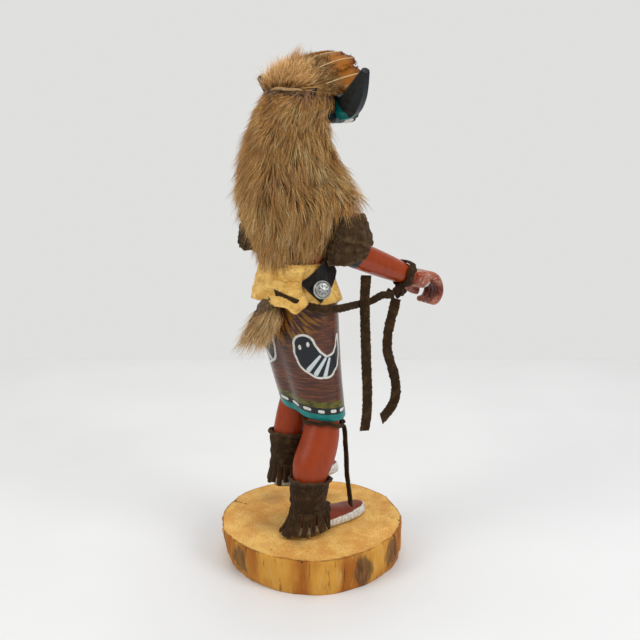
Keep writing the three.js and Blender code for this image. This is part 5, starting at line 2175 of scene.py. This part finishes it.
@dataclass
class Room:
    """The table top, soft lights and camera."""

    table: float = 1.0
    camera_place: Spot = (-0.3986, 0.39, 0.2968)
    camera_back: Spot = (-0.689, 0.689, 0.225)
    lens: float = 47.8

    def camera(self) -> None:
        """The camera, behind the doll's right shoulder and a little above."""
        data = bpy.data.cameras.new("camera")
        data.lens, data.sensor_width = self.lens, 36.0
        data.clip_start, data.clip_end = 0.01, 20.0
        obj = placed("camera", data)
        obj.location = self.camera_place
        obj.rotation_euler = Vector(self.camera_back).to_track_quat("Z", "Y").to_euler()
        bpy.context.scene.camera = obj

    def light(
        self, name: str, place: tuple, size: float, power: float, tint: Tint = (1, 1, 1)
    ) -> None:
        """A soft square light that looks at the middle of the doll."""
        data = bpy.data.lights.new(name, "AREA")
        data.shape, data.size, data.energy, data.color = "SQUARE", size, power, tint
        obj = placed(name, data)
        obj.location = place
        look = Vector(place) - Vector((0, 0, 0.16))
        obj.rotation_euler = look.to_track_quat("Z", "Y").to_euler()

    def lit(self) -> None:
        """The pale world and the lights."""
        world = bpy.data.worlds.new("pale_room")
        world.use_nodes = True
        tree = world.node_tree
        back = tree.nodes["Background"]
        back.inputs["Color"].default_value = (0.95, 0.95, 0.935, 1)
        way = tree.nodes.new("ShaderNodeTexCoord")
        facing = tree.nodes.new("ShaderNodeVectorMath")
        facing.operation = "DOT_PRODUCT"
        facing.inputs[1].default_value = (0.7, -0.7, -0.12)
        level = tree.nodes.new("ShaderNodeMapRange")
        level.interpolation_type = "SMOOTHSTEP"
        for name, value in (
            ("From Min", 0.35), ("From Max", 0.9), ("To Min", 0.42), ("To Max", 0.785)
        ):
            level.inputs[name].default_value = value
        tree.links.new(way.outputs["Generated"], facing.inputs[0])
        tree.links.new(facing.outputs["Value"], level.inputs["Value"])
        tree.links.new(level.outputs["Result"], back.inputs["Strength"])
        bpy.context.scene.world = world
        bpy.context.scene.view_settings.view_transform = "Standard"
        bpy.context.scene.view_settings.look = "None"
        self.light("window", (-1.25, -0.2, 0.95), 0.7, 9.5, (0.96, 0.98, 1.0))
        self.light("lamp", (0.35, 1.25, 1.05), 0.8, 8.0, (1.0, 0.985, 0.96))
        self.light("overhead", (0.1, -0.1, 1.5), 1.0, 8.5)

    def floor(self, finish: Material) -> None:
        """The table top: a thick square slab turned 45 degrees, whose back edge shows."""
        s = self.table * 500
        u, v = np.meshgrid(np.linspace(-s, s, 9), np.linspace(-s, s, 9), indexing="xy")
        c = math.sqrt(0.5)
        grid = pack((u - v) * c, (u + v) * c, 0.0)
        plan = slab(grid, 20.0)
        mesh = bare_mesh("table_top", plan)
        mesh.polygons.foreach_set("use_smooth", np.zeros(len(mesh.polygons), bool))
        mesh.materials.append(finish)
        placed("table_top", mesh)


PELT_TONES = (
    (0.0, (0.76, 0.5, 0.33)), (0.2, (0.48, 0.25, 0.095)), (0.4, (1.0, 0.57, 0.18)),
    (0.58, (0.4, 0.2, 0.062)), (0.78, (1.0, 0.68, 0.27)), (1.0, (1.0, 0.92, 0.56))
)
CROWN_TONES = (
    (0.0, (0.3, 0.165, 0.07)), (0.35, (0.62, 0.34, 0.12)), (0.65, (0.88, 0.52, 0.2)),
    (1.0, (1.0, 0.76, 0.4))
)
TAIL_TONES = (
    (0.0, (0.4, 0.23, 0.1)), (0.4, (0.7, 0.44, 0.19)), (0.7, (0.86, 0.59, 0.28)),
    (1.0, (1.0, 0.8, 0.45))
)
FEATHER_TURNS = (-64, -38, -12, 12, 38, 64)


def build_doll() -> None:
    """Builds every piece of the doll in order, cords first."""
    suede = Suede().made()
    for lace in LACES:
        lace.build(suede)
    LogSlice().build(LogWood().made())
    skin = SatinPaint().made()
    Figure().build([KiltPaint().made(), skin, MoccasinPaint().made()])
    arm_paint = ArmPaint().made()
    for arm in ARMS:
        arm.build(arm_paint)
    Mask().build(MaskPaint().made())
    horn_paint = HornPaint().made()
    for name, side in (("horn_right", -1), ("horn_left", 1)):
        Horn(name, side).build(horn_paint)
    for goods in (*BANDS, *CUFFS):
        goods.build(suede)
    worn = Suede(
        "worn_suede", (0.09, 0.049, 0.02), (0.19, 0.115, 0.052), (0.024, 0.013, 0.006)
    ).made()
    for wrap in WRAPS:
        wrap.build(worn)
    Belt().build(Chamois().made(), BlackLeather().made(), Silver().made())
    down = Underfur().made()
    pelt_hair = Hair("pelt_hair", PELT_TONES).made()
    Pelt().build(pelt_hair, down, HideEdge().made())
    # root: a lighter painted shade at the roots of the crown hairs
    Crown().build(Hair("crown_hair", CROWN_TONES, root=(0.5, 0.42, 0.36)).made(), down)
    Tail().build(Hair("tail_hair", TAIL_TONES).made(), down)
    orange, drab = Plume("plume_orange").made(), Plume("plume_drab", turn_at=0.72).made()
    for number, turn in enumerate(FEATHER_TURNS, 1):
        feather = Feather(number, turn, 9.4 if abs(turn) > 50 else 7.8)
        feather.build(drab if number in (3, 6) else orange)


def main() -> None:
    """Builds the room and the doll."""
    logging.basicConfig(level=logging.INFO, format="%(name)s %(message)s")
    room = Room()
    room.camera()
    build_doll()
    room.lit()
    room.floor(PaleTable().made())


if __name__ == "__main__":
    main()
